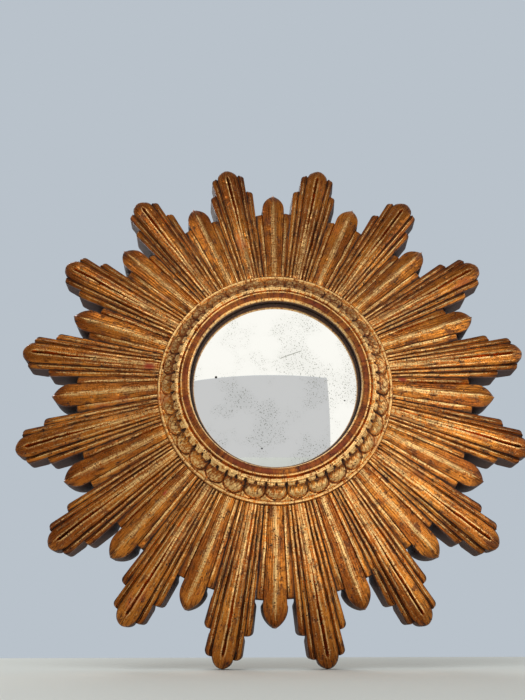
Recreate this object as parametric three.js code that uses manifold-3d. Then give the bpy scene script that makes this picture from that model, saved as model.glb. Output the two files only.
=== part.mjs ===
// Carved giltwood sunburst mirror with a convex glass.
//
// Millimetres. The mirror hangs upright: +Z is up, its face looks along -Y, and its flat
// back lies in the plane y = 0 with the centre of the back board at the origin. Heights
// above the wall plane are called h in this file, so a point's y is -h.

import * as THREE from 'three';
import Module from 'manifold-3d';

const wasm = await Module();
wasm.setup();
const { Manifold, Mesh: ManifoldMesh } = wasm;

// ---------------------------------------------------------------- driving dimensions

const FIT_GAP = 0.3;               // clearance between pieces that touch
const OVERRUN = 1;                 // how far a cutter runs past the face that it cuts
const TURNED_STEPS = 96;           // facets round the large turned pieces

const PAIRS_OF_RAYS = 16;          // long rays, with as many short rays between them
const LONG_TIP_R = 275;            // centre of the mirror to the end of a long ray
const SHORT_TIP_R = 232;
const TIP_THICKNESS = 21;          // wood at the end of a long ray
const FACE_RISE = 0.335;           // rise of the conical face toward the centre
const SIDE_DRAFT = 0.06;           // lean of the free side walls of the rays

const LOBE_HALF = 2.55;            // half widths of a long ray's parts, in degrees
const FIRST_STEP_HALF = 4.0;
const LONG_HALF = 5.8;             // the long ray's glue joint with the short ray
const FIRST_STEP_R = 265;          // where the side ribs of a long ray end
const SECOND_STEP_R = 241;

const KEEL_HALF = 3.2;             // half width of a short ray's keeled bar, in degrees
const SHORT_HALF = 180 / PAIRS_OF_RAYS - LONG_HALF;
const FLANK_END_R = 206;           // where the flank ribs of a short ray end

const SPLIT_START_R = 170;         // V groove that splits the lobe of a long ray
const SPLIT_WIDE_R = 225;
const SPLIT_END_R = 266;
const SPLIT_HALF = 0.5;            // degrees
const SPLIT_DEPTH = 5;

const RING_R = 118;                // outer edge of the carved ring
const RING_SEAT_H = 70;            // the ring's flat underside, above the wall
const RING_CREST_H = 99;           // its highest moulding
const SIGHT_R = 84.4;              // the ring's opening, which shows the glass
const GLASS_SEAT_H = 87;           // depth of the ring's rebate, where the glass bears
const BORE_R = 92;                 // turned through all the rays
const TONGUES = 32;                // rounded tongues carved round the ring

const GLASS_R = 91;
const GLASS_BULGE = 10;
const GLASS_THICKNESS = 3;
const GLASS_BLOCKS = 6;
const BLOCK_SIZE = { along: 26, radial: 10, deep: 14 };

const BOARD_R = 104.7;
const BOARD_THICKNESS = 4;
const BOARD_SCREWS = 8;
const BOARD_SCREW_R = 98.5;
const SCREW = { shank: 1.6, head: 3.6, length: 16, slotWidth: 0.8, slotDepth: 0.8 };

const POCKET = { bottom: 130, top: 199, half: 9.5, depth: 8 };
const PLATE = { bottom: 133, half: 7, thickness: 1.2 };
const EYE = { z: 174, h: 4.6, outer: 2.4, bore: 1.5, half: 4.5 };
const WIRE_R = 1.2;
const LOOP = { half: 7.2, corner: 2, straight: 8 };
const HANGER_SCREW = { z: [138, 148], shank: 1.3, head: 2.6, dome: 0.9, length: 14 };

const FINISH = {
  gilding: { color: 0xb27a36, roughness: 0.42, metalness: 0.85 },
  glass: { color: 0xc9cdd0, roughness: 0.06, metalness: 1.0 },
  pine: { color: 0x8a6a45, roughness: 0.85, metalness: 0.0 },
  blockWood: { color: 0x7a5a38, roughness: 0.9, metalness: 0.0 },
  steel: { color: 0x6f6a62, roughness: 0.5, metalness: 0.9 },
  brass: { color: 0x9c7a3c, roughness: 0.4, metalness: 0.9 },
};

// ---------------------------------------------------------------- solids and meshes

const radians = THREE.MathUtils.degToRad;

// Welds a closed geometry by position and hands it to manifold-3d.
function solid(geometry) {
  const source = geometry.index ? geometry.toNonIndexed() : geometry;
  const place = source.attributes.position;
  const known = new Map();
  const vertices = [];
  const corners = [];
  for (let i = 0; i < place.count; i++) {
    const point = [place.getX(i), place.getY(i), place.getZ(i)];
    const key = point.map((value) => Math.round(value * 1e4)).join(',');
    if (!known.has(key)) {
      known.set(key, vertices.length / 3);
      vertices.push(...point);
    }
    corners.push(known.get(key));
  }
  const triangles = [];
  for (let i = 0; i < corners.length; i += 3) {
    const [a, b, c] = corners.slice(i, i + 3);
    if (a !== b && b !== c && c !== a) triangles.push(a, b, c);
  }
  return new Manifold(new ManifoldMesh({
    numProp: 3,
    vertProperties: new Float32Array(vertices),
    triVerts: new Uint32Array(triangles),
  }));
}

function geometryOf(body) {
  const mesh = body.getMesh();
  const geometry = new THREE.BufferGeometry();
  geometry.setAttribute('position', new THREE.BufferAttribute(mesh.vertProperties, 3));
  geometry.setIndex(new THREE.BufferAttribute(mesh.triVerts, 1));
  geometry.computeVertexNormals();
  return geometry;
}

// A closed solid through cross-sections with equal numbers of points. Each section is a
// list of [across, h] pairs, counter-clockwise, and place(across, h, s) puts it in space.
function loft(sections, place) {
  const count = sections[0].length;
  const position = [];
  sections.forEach((section, s) => {
    section.forEach(([across, h]) => position.push(...place(across, h, s)));
  });
  const index = [];
  for (let s = 0; s + 1 < sections.length; s++) {
    for (let p = 0; p < count; p++) {
      const a = s * count + p;
      const b = s * count + ((p + 1) % count);
      index.push(a, b + count, b, a, a + count, b + count);
    }
  }
  const cap = (s, flip) => {
    const outline = sections[s].map(([across, h]) => new THREE.Vector2(across, h));
    for (const [a, b, c] of THREE.ShapeUtils.triangulateShape(outline, [])) {
      const face = flip ? [a, c, b] : [a, b, c];
      index.push(...face.map((corner) => s * count + corner));
    }
  };
  cap(0, false);
  cap(sections.length - 1, true);
  const geometry = new THREE.BufferGeometry();
  geometry.setAttribute('position', new THREE.Float32BufferAttribute(position, 3));
  geometry.setIndex(index);
  return geometry;
}

// A turned solid about the mirror's axis, from [radius, h] pairs.
function turned(profile, steps = TURNED_STEPS) {
  const points = profile.map(([radius, h]) => new THREE.Vector2(radius, h));
  const geometry = new THREE.LatheGeometry(points, steps);
  geometry.rotateX(Math.PI);
  return geometry;
}

// A round bar along the mirror's axis at (x, z), from height h0 to h1.
function bar(radius, h0, h1, x, z, sides = 12) {
  const geometry = new THREE.CylinderGeometry(radius, radius, h1 - h0, sides);
  geometry.translate(x, -(h0 + h1) / 2, z);
  return geometry;
}

function block(width, deep, tall, x, h, z) {
  const geometry = new THREE.BoxGeometry(width, deep, tall);
  geometry.translate(x, -h, z);
  return geometry;
}

function node(name, geometry, finish, fromTop = 0) {
  const mesh = new THREE.Mesh(geometry, new THREE.MeshStandardMaterial(finish));
  mesh.name = name;
  mesh.rotation.y = radians(fromTop);
  return mesh;
}

const numbered = (name, index) => `${name}_${String(index + 1).padStart(2, '0')}`;

// ---------------------------------------------------------------- rays

// Height of the crests of the rays at radius r.
const faceHeight = (r) => TIP_THICKNESS + FACE_RISE * (LONG_TIP_R - r);

// A ray is built pointing up, from layers that each run from inside the bore to their own
// end. A layer's crests list gives [degrees from the centre line, drop below the face] from
// the centre outward, and widthAt narrows it toward its end.
function layer({ stops, crestsAt, widthAt = () => 1, sag = () => 0 }) {
  const sections = stops.map((r) => {
    const crests = crestsAt(r);
    const scale = r / LONG_TIP_R;
    const right = crests.map(([angle, drop]) => [
      angle * widthAt(r),
      faceHeight(r) - drop * scale - sag(r),
    ]);
    const left = right.filter(([angle]) => angle > 0).map(([angle, h]) => [-angle, h]);
    const edge = right.at(-1)[0];
    const free = THREE.MathUtils.smoothstep(r, FLANK_END_R, FLANK_END_R + 8);
    const foot = edge + THREE.MathUtils.radToDeg(SIDE_DRAFT * right.at(-1)[1] * free / r);
    return [[-foot, 0], [foot, 0], ...right.reverse(), ...left];
  });
  const place = (angle, h, s) => [
    stops[s] * Math.sin(radians(angle)),
    -h,
    stops[s] * Math.cos(radians(angle)),
  ];
  return solid(loft(sections, place));
}

// Half of the glue gap, as degrees at radius r.
const glueGap = (r) => THREE.MathUtils.radToDeg(FIT_GAP / 2 / r);

const INNER_STOPS = [BORE_R - 6, RING_R, SPLIT_START_R];

// What the lathe takes from the glued-up rays: the bore, the seat of the carved ring in
// front and the rebate of the back board behind.
const turnedRecess = solid(turned([
  [0, -OVERRUN],
  [BOARD_R + FIT_GAP, -OVERRUN],
  [BOARD_R + FIT_GAP, BOARD_THICKNESS + FIT_GAP],
  [BORE_R, BOARD_THICKNESS + FIT_GAP],
  [BORE_R, RING_SEAT_H - FIT_GAP],
  [RING_R + FIT_GAP, RING_SEAT_H - FIT_GAP],
  [RING_R + FIT_GAP, RING_SEAT_H + 30],
  [0, RING_SEAT_H + 30],
]));

// Strength of the V groove at radius r, from 0 to 1.
function split(r) {
  const opening = THREE.MathUtils.smoothstep(r, SPLIT_START_R, SPLIT_WIDE_R);
  const closing = 1 - THREE.MathUtils.smoothstep(r, SPLIT_END_R - 6, SPLIT_END_R);
  return opening * closing;
}

function longRay() {
  const roundStart = LONG_TIP_R - 17;
  const lobe = layer({
    stops: [...INNER_STOPS, SPLIT_WIDE_R, roundStart, 263, 267, 271, 273.5, LONG_TIP_R],
    crestsAt: (r) => [
      [0, 0.3 + SPLIT_DEPTH * split(r)],
      [SPLIT_HALF * (0.3 + 0.7 * split(r)), 0],
      [1.6, 0.7],
      [LOBE_HALF, 3],
    ],
    widthAt: (r) => Math.sqrt(1 - (Math.max(0, r - roundStart) / 17.3) ** 2),
    sag: (r) => 4 * (Math.max(0, r - roundStart) / 17) ** 3,
  });
  const roundedStep = (end) => (r) => 1 - 0.1 * (Math.max(0, r - end + 8) / 8) ** 2;
  const firstStep = layer({
    stops: [...INNER_STOPS, SPLIT_WIDE_R, FIRST_STEP_R - 8, FIRST_STEP_R - 4, FIRST_STEP_R],
    crestsAt: () => [[LOBE_HALF, 4.4], [3.2, 1.8], [FIRST_STEP_HALF, 4]],
    widthAt: roundedStep(FIRST_STEP_R),
  });
  const secondStep = layer({
    stops: [...INNER_STOPS, FLANK_END_R, FLANK_END_R + 8, SECOND_STEP_R - 8, SECOND_STEP_R - 4,
      SECOND_STEP_R],
    crestsAt: (r) => [[FIRST_STEP_HALF, 5.6], [4.9, 3.2], [LONG_HALF - glueGap(r), 5.6]],
    widthAt: roundedStep(SECOND_STEP_R),
  });
  return lobe.add(firstStep).add(secondStep).subtract(turnedRecess);
}

function shortRay() {
  const pointStart = 210;
  const pointLength = SHORT_TIP_R - pointStart;
  const keel = layer({
    stops: [...INNER_STOPS, FLANK_END_R, pointStart + 4, 219, 223.5, 228, SHORT_TIP_R],
    crestsAt: () => [[0, 0], [1.6, 3.2], [KEEL_HALF, 4.4]],
    widthAt: (r) => Math.max(0.05, 1 - (Math.max(0, r - pointStart) / pointLength) ** 2.1),
    sag: (r) => 2.5 * (Math.max(0, r - pointStart) / pointLength) ** 3,
  });
  const flanks = layer({
    stops: [...INNER_STOPS, FLANK_END_R - 1.5, FLANK_END_R],
    crestsAt: (r) => [[KEEL_HALF, 5.6], [3.6, 2.6], [SHORT_HALF - glueGap(r), 6]],
  });
  return keel.add(flanks).subtract(turnedRecess);
}

// Takes the pilot hole of a back-board screw out of a short ray.
function withScrewHole(ray) {
  const hole = bar(SCREW.shank + FIT_GAP, 0, BOARD_THICKNESS + SCREW.length, 0, BOARD_SCREW_R);
  return ray.subtract(solid(hole));
}

// Takes the routed pocket of the hanger, and its screw holes, out of the back of a short ray.
function withHangerPocket(ray) {
  const middle = (POCKET.bottom + POCKET.top) / 2;
  const cutter = block(2 * POCKET.half, 2 * POCKET.depth, POCKET.top - POCKET.bottom, 0, 0, middle);
  let result = ray.subtract(solid(cutter));
  for (const z of HANGER_SCREW.z) {
    const hole = bar(HANGER_SCREW.shank + FIT_GAP, 0, POCKET.depth + HANGER_SCREW.length, 0, z);
    result = result.subtract(solid(hole));
  }
  return result;
}

// ---------------------------------------------------------------- ring and glass

// The carved ring: an outer bead, a slope of rounded tongues, a row of teeth, a bead and the
// lip that runs back to the glass. The tongues and teeth rise and fall by a cosine.
function carvedRing() {
  const steps = TONGUES * 3;
  const crest = RING_CREST_H;
  const profile = (turn) => {
    const tongue = Math.abs(Math.cos(turn * TONGUES / 2));
    const tooth = Math.abs(Math.cos(turn * TONGUES));
    return [
      [RING_R, RING_SEAT_H],
      [RING_R, crest - 24.8],
      [115.2, crest - 21.6],
      [113.2, crest - 22],
      [107 + 4.6 * tongue, crest - 18.6 + 1.6 * tongue],
      [102.6, crest - 8.6],
      [101.4 - tooth, crest - 8.2],
      [97, crest - 2],
      [94.2, crest - 2.4],
      [92.2, crest - 0.8],
      [90.4, crest - 1.6],
      [87.4, crest],
      [SIGHT_R, crest - 6],
      [SIGHT_R, GLASS_SEAT_H],
      [GLASS_R + 2 * FIT_GAP, GLASS_SEAT_H],
      [GLASS_R + 2 * FIT_GAP, RING_SEAT_H],
    ];
  };
  const count = profile(0).length;
  const position = [];
  const index = [];
  for (let s = 0; s < steps; s++) {
    const turn = s * 2 * Math.PI / steps;
    for (const [radius, h] of profile(turn)) {
      position.push(radius * Math.sin(turn), -h, radius * Math.cos(turn));
    }
    for (let p = 0; p < count; p++) {
      const a = s * count + p;
      const b = s * count + ((p + 1) % count);
      const c = ((s + 1) % steps) * count + ((p + 1) % count);
      const d = ((s + 1) % steps) * count + p;
      index.push(a, b, c, a, c, d);
    }
  }
  const geometry = new THREE.BufferGeometry();
  geometry.setAttribute('position', new THREE.Float32BufferAttribute(position, 3));
  geometry.setIndex(index);
  return geometry;
}

// Sphere radius of the bulging glass, and the height of its front face at radius r.
const GLASS_SPHERE = (GLASS_R ** 2 + GLASS_BULGE ** 2) / (2 * GLASS_BULGE);
const sagitta = (r, sphere) => sphere - Math.sqrt(sphere ** 2 - r ** 2);
const GLASS_APEX_H = GLASS_SEAT_H - FIT_GAP + sagitta(SIGHT_R, GLASS_SPHERE);
const glassFront = (r) => GLASS_APEX_H - sagitta(r, GLASS_SPHERE);
const GLASS_BACK_H = glassFront(GLASS_R) - GLASS_THICKNESS;

function mirrorGlass() {
  const rings = [0, 0.2, 0.4, 0.6, 0.8, 1].map((part) => part * GLASS_R);
  const back = rings.map((r) => [r, glassFront(r) - GLASS_THICKNESS]);
  const front = rings.map((r) => [r, glassFront(r)]).reverse();
  return turned([...back, ...front], 48);
}

function glassBlock() {
  const { along, radial, deep } = BLOCK_SIZE;
  const corner = Math.sqrt((BORE_R - 1) ** 2 - (along / 2) ** 2);
  const h = GLASS_BACK_H - FIT_GAP - deep / 2;
  return block(along, deep, radial, 0, h, corner - radial / 2);
}

// ---------------------------------------------------------------- back

function screwTurns(count) {
  return Array.from({ length: count }, (_, i) => (i + 0.5) * 360 / count);
}

function backBoard() {
  let board = solid(turned([[0, 0], [BOARD_R, 0], [BOARD_R, BOARD_THICKNESS], [0, BOARD_THICKNESS]]));
  const holes = countersunk(FIT_GAP, OVERRUN);
  for (const turn of screwTurns(BOARD_SCREWS)) {
    board = board.subtract(solid(holes.clone().rotateY(radians(turn))));
  }
  return board;
}

// The countersunk outline of a back-board screw, wider by grow, its head raised by proud.
function countersunk(grow, proud) {
  const shank = SCREW.shank + grow;
  const head = SCREW.head + grow;
  const cone = head - shank;
  const points = [[0, -proud], [head, -proud], [head, grow], [shank, cone + grow]];
  points.push([shank, SCREW.length + grow - 2], [0, SCREW.length + grow]);
  const geometry = turned(points, 12);
  geometry.translate(0, 0, BOARD_SCREW_R);
  return geometry;
}

function backScrew() {
  const { head, slotWidth, slotDepth } = SCREW;
  const slot = block(2 * head + 2, 2 * slotDepth, slotWidth, 0, 0, BOARD_SCREW_R);
  return solid(countersunk(0, 0)).subtract(solid(slot));
}

// ---------------------------------------------------------------- hanger

// The plate and its rolled eye, cut as one outline in the Y-Z plane.
function hangerPlate() {
  const floor = POCKET.depth - FIT_GAP;
  const tall = EYE.z - PLATE.bottom;
  const strap = block(2 * PLATE.half, PLATE.thickness, tall - 5, 0, floor - PLATE.thickness / 2,
    PLATE.bottom + (tall - 5) / 2);
  const neck = block(2 * EYE.half, PLATE.thickness, tall, 0, floor - PLATE.thickness / 2,
    PLATE.bottom + tall / 2);
  const barrel = new THREE.CylinderGeometry(EYE.outer, EYE.outer, 2 * EYE.half, 16);
  barrel.rotateZ(Math.PI / 2).translate(0, -EYE.h, EYE.z);
  const bore = new THREE.CylinderGeometry(EYE.bore, EYE.bore, 2 * EYE.half + 2, 12);
  bore.rotateZ(Math.PI / 2).translate(0, -EYE.h, EYE.z);
  let plate = solid(strap).add(solid(neck)).add(solid(barrel)).subtract(solid(bore));
  for (const z of HANGER_SCREW.z) {
    plate = plate.subtract(solid(bar(HANGER_SCREW.shank + FIT_GAP, 0, POCKET.depth + 1, 0, z)));
  }
  return plate;
}

// Centre line of the hanging loop: a straight top inside the eye, two rounded corners, two
// straight sides and a half-round end.
function loopPoints() {
  const { half, corner, straight } = LOOP;
  const points = [];
  const arc = (x, z, radius, from, to, count) => {
    for (let i = 0; i <= count; i++) {
      const angle = radians(from + (to - from) * i / count);
      points.push([x + radius * Math.cos(angle), z + radius * Math.sin(angle)]);
    }
  };
  arc(half - corner, -corner, corner, 90, 0, 4);
  arc(0, -straight, half, 0, -180, 12);
  arc(corner - half, -corner, corner, 180, 90, 4);
  return points;
}

function hangerRing() {
  const sides = 8;
  const points = loopPoints();
  const count = points.length;
  const position = [];
  const index = [];
  points.forEach(([x, z], i) => {
    const [x0, z0] = points[(i + count - 1) % count];
    const [x1, z1] = points[(i + 1) % count];
    const length = Math.hypot(x1 - x0, z1 - z0);
    const outward = [-(z1 - z0) / length, (x1 - x0) / length];
    for (let k = 0; k < sides; k++) {
      const turn = 2 * Math.PI * k / sides;
      const out = WIRE_R * Math.cos(turn);
      position.push(x + outward[0] * out, WIRE_R * Math.sin(turn), z + outward[1] * out);
      const a = i * sides + k;
      const b = i * sides + ((k + 1) % sides);
      const c = ((i + 1) % count) * sides + ((k + 1) % sides);
      const d = ((i + 1) % count) * sides + k;
      index.push(a, c, b, a, d, c);
    }
  });
  const geometry = new THREE.BufferGeometry();
  geometry.setAttribute('position', new THREE.Float32BufferAttribute(position, 3));
  geometry.setIndex(index);
  return geometry;
}

function hangerScrew(z) {
  const { shank, head, dome, length } = HANGER_SCREW;
  const face = POCKET.depth - FIT_GAP - PLATE.thickness;
  const under = face - FIT_GAP;
  const profile = [[0, under - dome], [head * 0.6, under - dome], [head, under]];
  profile.push([shank, under], [shank, under + length - 3], [0, under + length]);
  const screw = turned(profile, 12).translate(0, 0, z);
  const slot = block(2 * head, 0.8, 0.6, 0, under - dome, z);
  return solid(screw).subtract(solid(slot));
}

// ---------------------------------------------------------------- assembly

const mirror = new THREE.Group();
const pitch = 360 / PAIRS_OF_RAYS;

const longShape = geometryOf(longRay());
const plainShort = shortRay();
const shortShapes = {
  plain: geometryOf(plainShort),
  screwed: geometryOf(withScrewHole(plainShort)),
  hanging: geometryOf(withHangerPocket(plainShort)),
};
const raysPerScrew = PAIRS_OF_RAYS / BOARD_SCREWS;

for (let i = 0; i < PAIRS_OF_RAYS; i++) {
  const kind = i === 0 ? 'hanging' : i % raysPerScrew === 1 ? 'screwed' : 'plain';
  mirror.add(node(numbered('short_ray', i), shortShapes[kind], FINISH.gilding, i * pitch));
  mirror.add(node(numbered('long_ray', i), longShape, FINISH.gilding, (i + 0.5) * pitch));
}

mirror.add(node('carved_ring', carvedRing(), FINISH.gilding));
mirror.add(node('mirror_glass', geometryOf(solid(mirrorGlass())), FINISH.glass));

for (let i = 0; i < GLASS_BLOCKS; i++) {
  const turn = (i + 0.5) * 360 / GLASS_BLOCKS;
  mirror.add(node(numbered('glass_block', i), glassBlock(), FINISH.blockWood, turn));
}

mirror.add(node('back_board', geometryOf(backBoard()), FINISH.pine));
screwTurns(BOARD_SCREWS).forEach((turn, i) => {
  mirror.add(node(numbered('back_screw', i), geometryOf(backScrew()), FINISH.steel, turn));
});

mirror.add(node('hanger_plate', geometryOf(hangerPlate()), FINISH.brass));
HANGER_SCREW.z.forEach((z, i) => {
  mirror.add(node(numbered('hanger_screw', i), geometryOf(hangerScrew(z)), FINISH.steel));
});

const ring = node('hanger_ring', hangerRing(), FINISH.brass);
ring.position.set(0, -EYE.h, EYE.z);
mirror.add(ring);

export default mirror;
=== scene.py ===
"""Dresses the carved sunburst mirror: gilded rays and ring, convex glass, back and hanger.

Metres in the scene, millimetres in the sizes below. The mirror hangs upright with its face
toward -Y and its back on the plane y = 0. Heights above the wall are called h, so y = -h.
"""

import logging
import math
from dataclasses import dataclass, field
from enum import Enum

import bpy
import numpy as np
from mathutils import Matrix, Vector

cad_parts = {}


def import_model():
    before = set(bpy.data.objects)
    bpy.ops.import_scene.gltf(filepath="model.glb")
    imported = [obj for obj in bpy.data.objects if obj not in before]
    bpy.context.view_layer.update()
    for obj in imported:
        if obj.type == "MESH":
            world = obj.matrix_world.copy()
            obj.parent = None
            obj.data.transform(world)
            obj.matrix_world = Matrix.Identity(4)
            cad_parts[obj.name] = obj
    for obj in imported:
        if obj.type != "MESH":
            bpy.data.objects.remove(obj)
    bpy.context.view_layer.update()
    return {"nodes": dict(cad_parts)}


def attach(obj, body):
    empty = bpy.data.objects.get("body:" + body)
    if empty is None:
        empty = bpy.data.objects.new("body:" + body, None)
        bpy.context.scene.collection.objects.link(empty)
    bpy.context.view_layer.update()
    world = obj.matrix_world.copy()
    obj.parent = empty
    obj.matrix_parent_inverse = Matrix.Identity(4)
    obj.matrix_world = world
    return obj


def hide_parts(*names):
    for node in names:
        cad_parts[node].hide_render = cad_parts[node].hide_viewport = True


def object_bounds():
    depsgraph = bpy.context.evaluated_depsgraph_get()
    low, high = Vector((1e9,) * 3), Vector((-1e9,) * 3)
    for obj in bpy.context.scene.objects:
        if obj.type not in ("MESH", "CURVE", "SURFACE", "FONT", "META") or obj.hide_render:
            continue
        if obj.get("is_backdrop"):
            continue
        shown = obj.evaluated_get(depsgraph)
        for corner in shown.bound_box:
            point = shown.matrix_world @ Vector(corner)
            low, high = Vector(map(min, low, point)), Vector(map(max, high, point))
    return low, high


LOG = logging.getLogger("mirror")
MM = 0.001
PHOTO_WIDTH, PHOTO_HEIGHT = 525, 700
NEVER = 999.0  # a radius past every ray, for walls that nowhere stand free
Array = np.ndarray
Corners = list[tuple[float, float, float]]


class Skin(Enum):
    """Which material of a piece a face takes."""

    FACE = 0
    BACK = 1


class Hand(Enum):
    """The side of a ray's centre line that a rib lies on, seen from its root."""

    LEFT = -1
    RIGHT = 1


class Grain(Enum):
    """Which way wood grain runs, as the stretch of its pattern."""

    ALONG_STAVE = (1.0, 0.05, 1.0)
    UPRIGHT = (1.0, 0.6, 0.05)


# ------------------------------------------------------------------ surfaces


def smoothstep(low: float, high: float, value: Array) -> Array:
    """Rises from 0 at low to 1 at high with level ends: 3t^2 - 2t^3."""
    t = np.clip((value - low) / (high - low), 0.0, 1.0)
    return t * t * (3.0 - 2.0 * t)


def drift(r: Array, seed: int) -> Array:
    """A slow wander of a hand-cut line along the radius, within about -1 to 1.

    It is the sum of three sines with wavelengths of 95, 41 and 17 mm and seeded phases.

    Args:
        r: radii in mm.
        seed: number of the line.

    Returns:
        One value for each radius.
    """
    phases = np.random.default_rng(seed).uniform(0, 2 * np.pi, 3)
    waves = ((95, 0.55), (41, 0.3), (17, 0.15))
    return sum(a * np.sin(2 * np.pi * r / w + p) for (w, a), p in zip(waves, phases))


def signed_volume(points: Array, quads: Array) -> float:
    """Six times the volume inside closed quads, negative where they are inside out."""
    a, b, c, d = (points[quads[:, k]] for k in range(4))
    return float((np.cross(a, b) * c).sum() + (np.cross(a, c) * d).sum())


def facing_out(points: Array, rows: int, columns: int, closed: bool) -> tuple[Array, list[list[int]]]:
    """Faces of a grid whose columns run round, turned so that they point outward.

    Args:
        points: the grid's points, row by row.
        rows: number of rows.
        columns: number of columns.
        closed: whether the last row joins the first; otherwise each end gets a cap.

    Returns:
        Four point numbers for each quad, and the point numbers of each cap.
    """
    i = np.arange(rows if closed else rows - 1)[:, None]
    j = np.arange(columns)[None, :]
    i2, j2 = (i + 1) % rows, (j + 1) % columns
    corners = (i * columns + j, i * columns + j2, i2 * columns + j2, i2 * columns + j)
    quads = np.stack([np.broadcast_to(c, (len(i), columns)) for c in corners], -1).reshape(-1, 4)
    first, last = list(range(columns)), list(range((rows - 1) * columns, rows * columns))
    caps = [] if closed else [first, last[::-1]]
    if signed_volume(points, quads) < 0:
        return quads[:, ::-1], caps
    return quads, [cap[::-1] for cap in caps]


@dataclass
class Surface:
    """Points with their faces, paint channels and flat coordinates, as whole arrays."""

    points: Array
    quads: Array
    skins: Array
    channels: dict[str, Array]
    wrap: Array
    flat: Array
    caps: list[list[int]] = field(default_factory=list)

    def object(self, name: str, materials: list[bpy.types.Material], crease: float) -> bpy.types.Object:
        """Makes the surface a Blender object.

        Args:
            name: name of the piece.
            materials: materials in the order of Skin.
            crease: edges sharper than this many degrees stay sharp.

        Returns:
            The object, in the scene and at the origin.
        """
        mesh = bpy.data.meshes.new(name)
        mesh.from_pydata(self.points.tolist(), [], self.quads.tolist() + self.caps)
        for material in materials:
            mesh.materials.append(material)
        skins = np.concatenate([self.skins, np.zeros(len(self.caps), int)])
        mesh.polygons.foreach_set("material_index", skins.astype(np.int32))
        corner = np.empty(len(mesh.loops), np.int32)
        mesh.loops.foreach_get("vertex_index", corner)
        sizes = np.empty(len(mesh.polygons), np.int32)
        mesh.polygons.foreach_get("loop_total", sizes)
        behind = np.repeat(skins == Skin.BACK.value, sizes)
        uv = np.where(behind[:, None], self.flat[corner], self.wrap[corner])
        layer = mesh.uv_layers.new(name="carving")
        layer.data.foreach_set("uv", uv.astype(np.float32).ravel())
        for label, values in self.channels.items():
            channel = mesh.attributes.new(label, "FLOAT", "POINT")
            channel.data.foreach_set("value", values.astype(np.float32))
        mesh.shade_smooth()
        mesh.set_sharp_from_angle(angle=math.radians(crease))
        mesh.validate()
        piece = bpy.data.objects.new(name, mesh)
        bpy.context.scene.collection.objects.link(piece)
        return piece


def joined(surfaces: list[Surface]) -> Surface:
    """Puts several closed surfaces into one piece, one after another.

    Args:
        surfaces: surfaces that have the same channels.

    Returns:
        One surface with all their points and faces.
    """
    starts = np.cumsum([0] + [len(s.points) for s in surfaces])
    names = surfaces[0].channels
    return Surface(
        points=np.concatenate([s.points for s in surfaces]),
        quads=np.concatenate([s.quads + k for s, k in zip(surfaces, starts)]),
        skins=np.concatenate([s.skins for s in surfaces]),
        channels={n: np.concatenate([s.channels[n] for s in surfaces]) for n in names},
        wrap=np.concatenate([s.wrap for s in surfaces]),
        flat=np.concatenate([s.flat for s in surfaces]),
        caps=[[k + int(start) for k in cap] for s, start in zip(surfaces, starts) for cap in s.caps],
    )


# ------------------------------------------------------------------ finishes

NOISE, CELLS = "ShaderNodeTexNoise", "ShaderNodeTexVoronoi"
MATH, VECTOR = "ShaderNodeMath", "ShaderNodeVectorMath"
RANGE, MAPPING, MIX = "ShaderNodeMapRange", "ShaderNodeMapping", "ShaderNodeMix"
PLACE, MAP, CHANNEL = "ShaderNodeTexCoord", "ShaderNodeUVMap", "ShaderNodeAttribute"
BUMP, SHADER, OUTPUT = "ShaderNodeBump", "ShaderNodeBsdfPrincipled", "ShaderNodeOutputMaterial"
SMOOTH = {"interpolation_type": "SMOOTHSTEP"}


def linear(code: str) -> tuple[float, float, float, float]:
    """Turns an sRGB hex colour into linear RGBA by the standard sRGB curve.

    Args:
        code: the colour, such as "#E08B35".

    Returns:
        Red, green, blue and an alpha of 1.
    """
    parts = [int(code[k : k + 2], 16) / 255 for k in (1, 3, 5)]
    red, green, blue = (c / 12.92 if c <= 0.04045 else ((c + 0.055) / 1.055) ** 2.4 for c in parts)
    return red, green, blue, 1.0


def add(
    tree: bpy.types.NodeTree, kind: str, inputs: dict[str | int, object] | None = None, **settings: object
) -> bpy.types.Node:
    """Adds one node with its settings and links.

    Args:
        tree: the node tree.
        kind: Blender's name of the node.
        inputs: input name or number to its value, to the socket that feeds it, or to a node
            whose first output feeds it.
        settings: the node's own properties.

    Returns:
        The node.
    """
    node = tree.nodes.new(kind)
    for key, value in settings.items():
        setattr(node, key, value)
    for key, value in (inputs or {}).items():
        if isinstance(value, bpy.types.Node):
            value = value.outputs[0]
        if isinstance(value, bpy.types.NodeSocket):
            tree.links.new(value, node.inputs[key])
        else:
            node.inputs[key].default_value = value
    return node


def blank(name: str) -> tuple[bpy.types.Material, bpy.types.NodeTree]:
    """Makes a new material with an empty node tree.

    Args:
        name: its name.

    Returns:
        The material and its tree.
    """
    material = bpy.data.materials.new(name)
    material.use_nodes = True
    material.node_tree.nodes.clear()
    return material, material.node_tree


def per(size: float) -> float:
    """Noise scale whose features are about size mm, on coordinates in metres."""
    return 1000.0 / size


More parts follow.
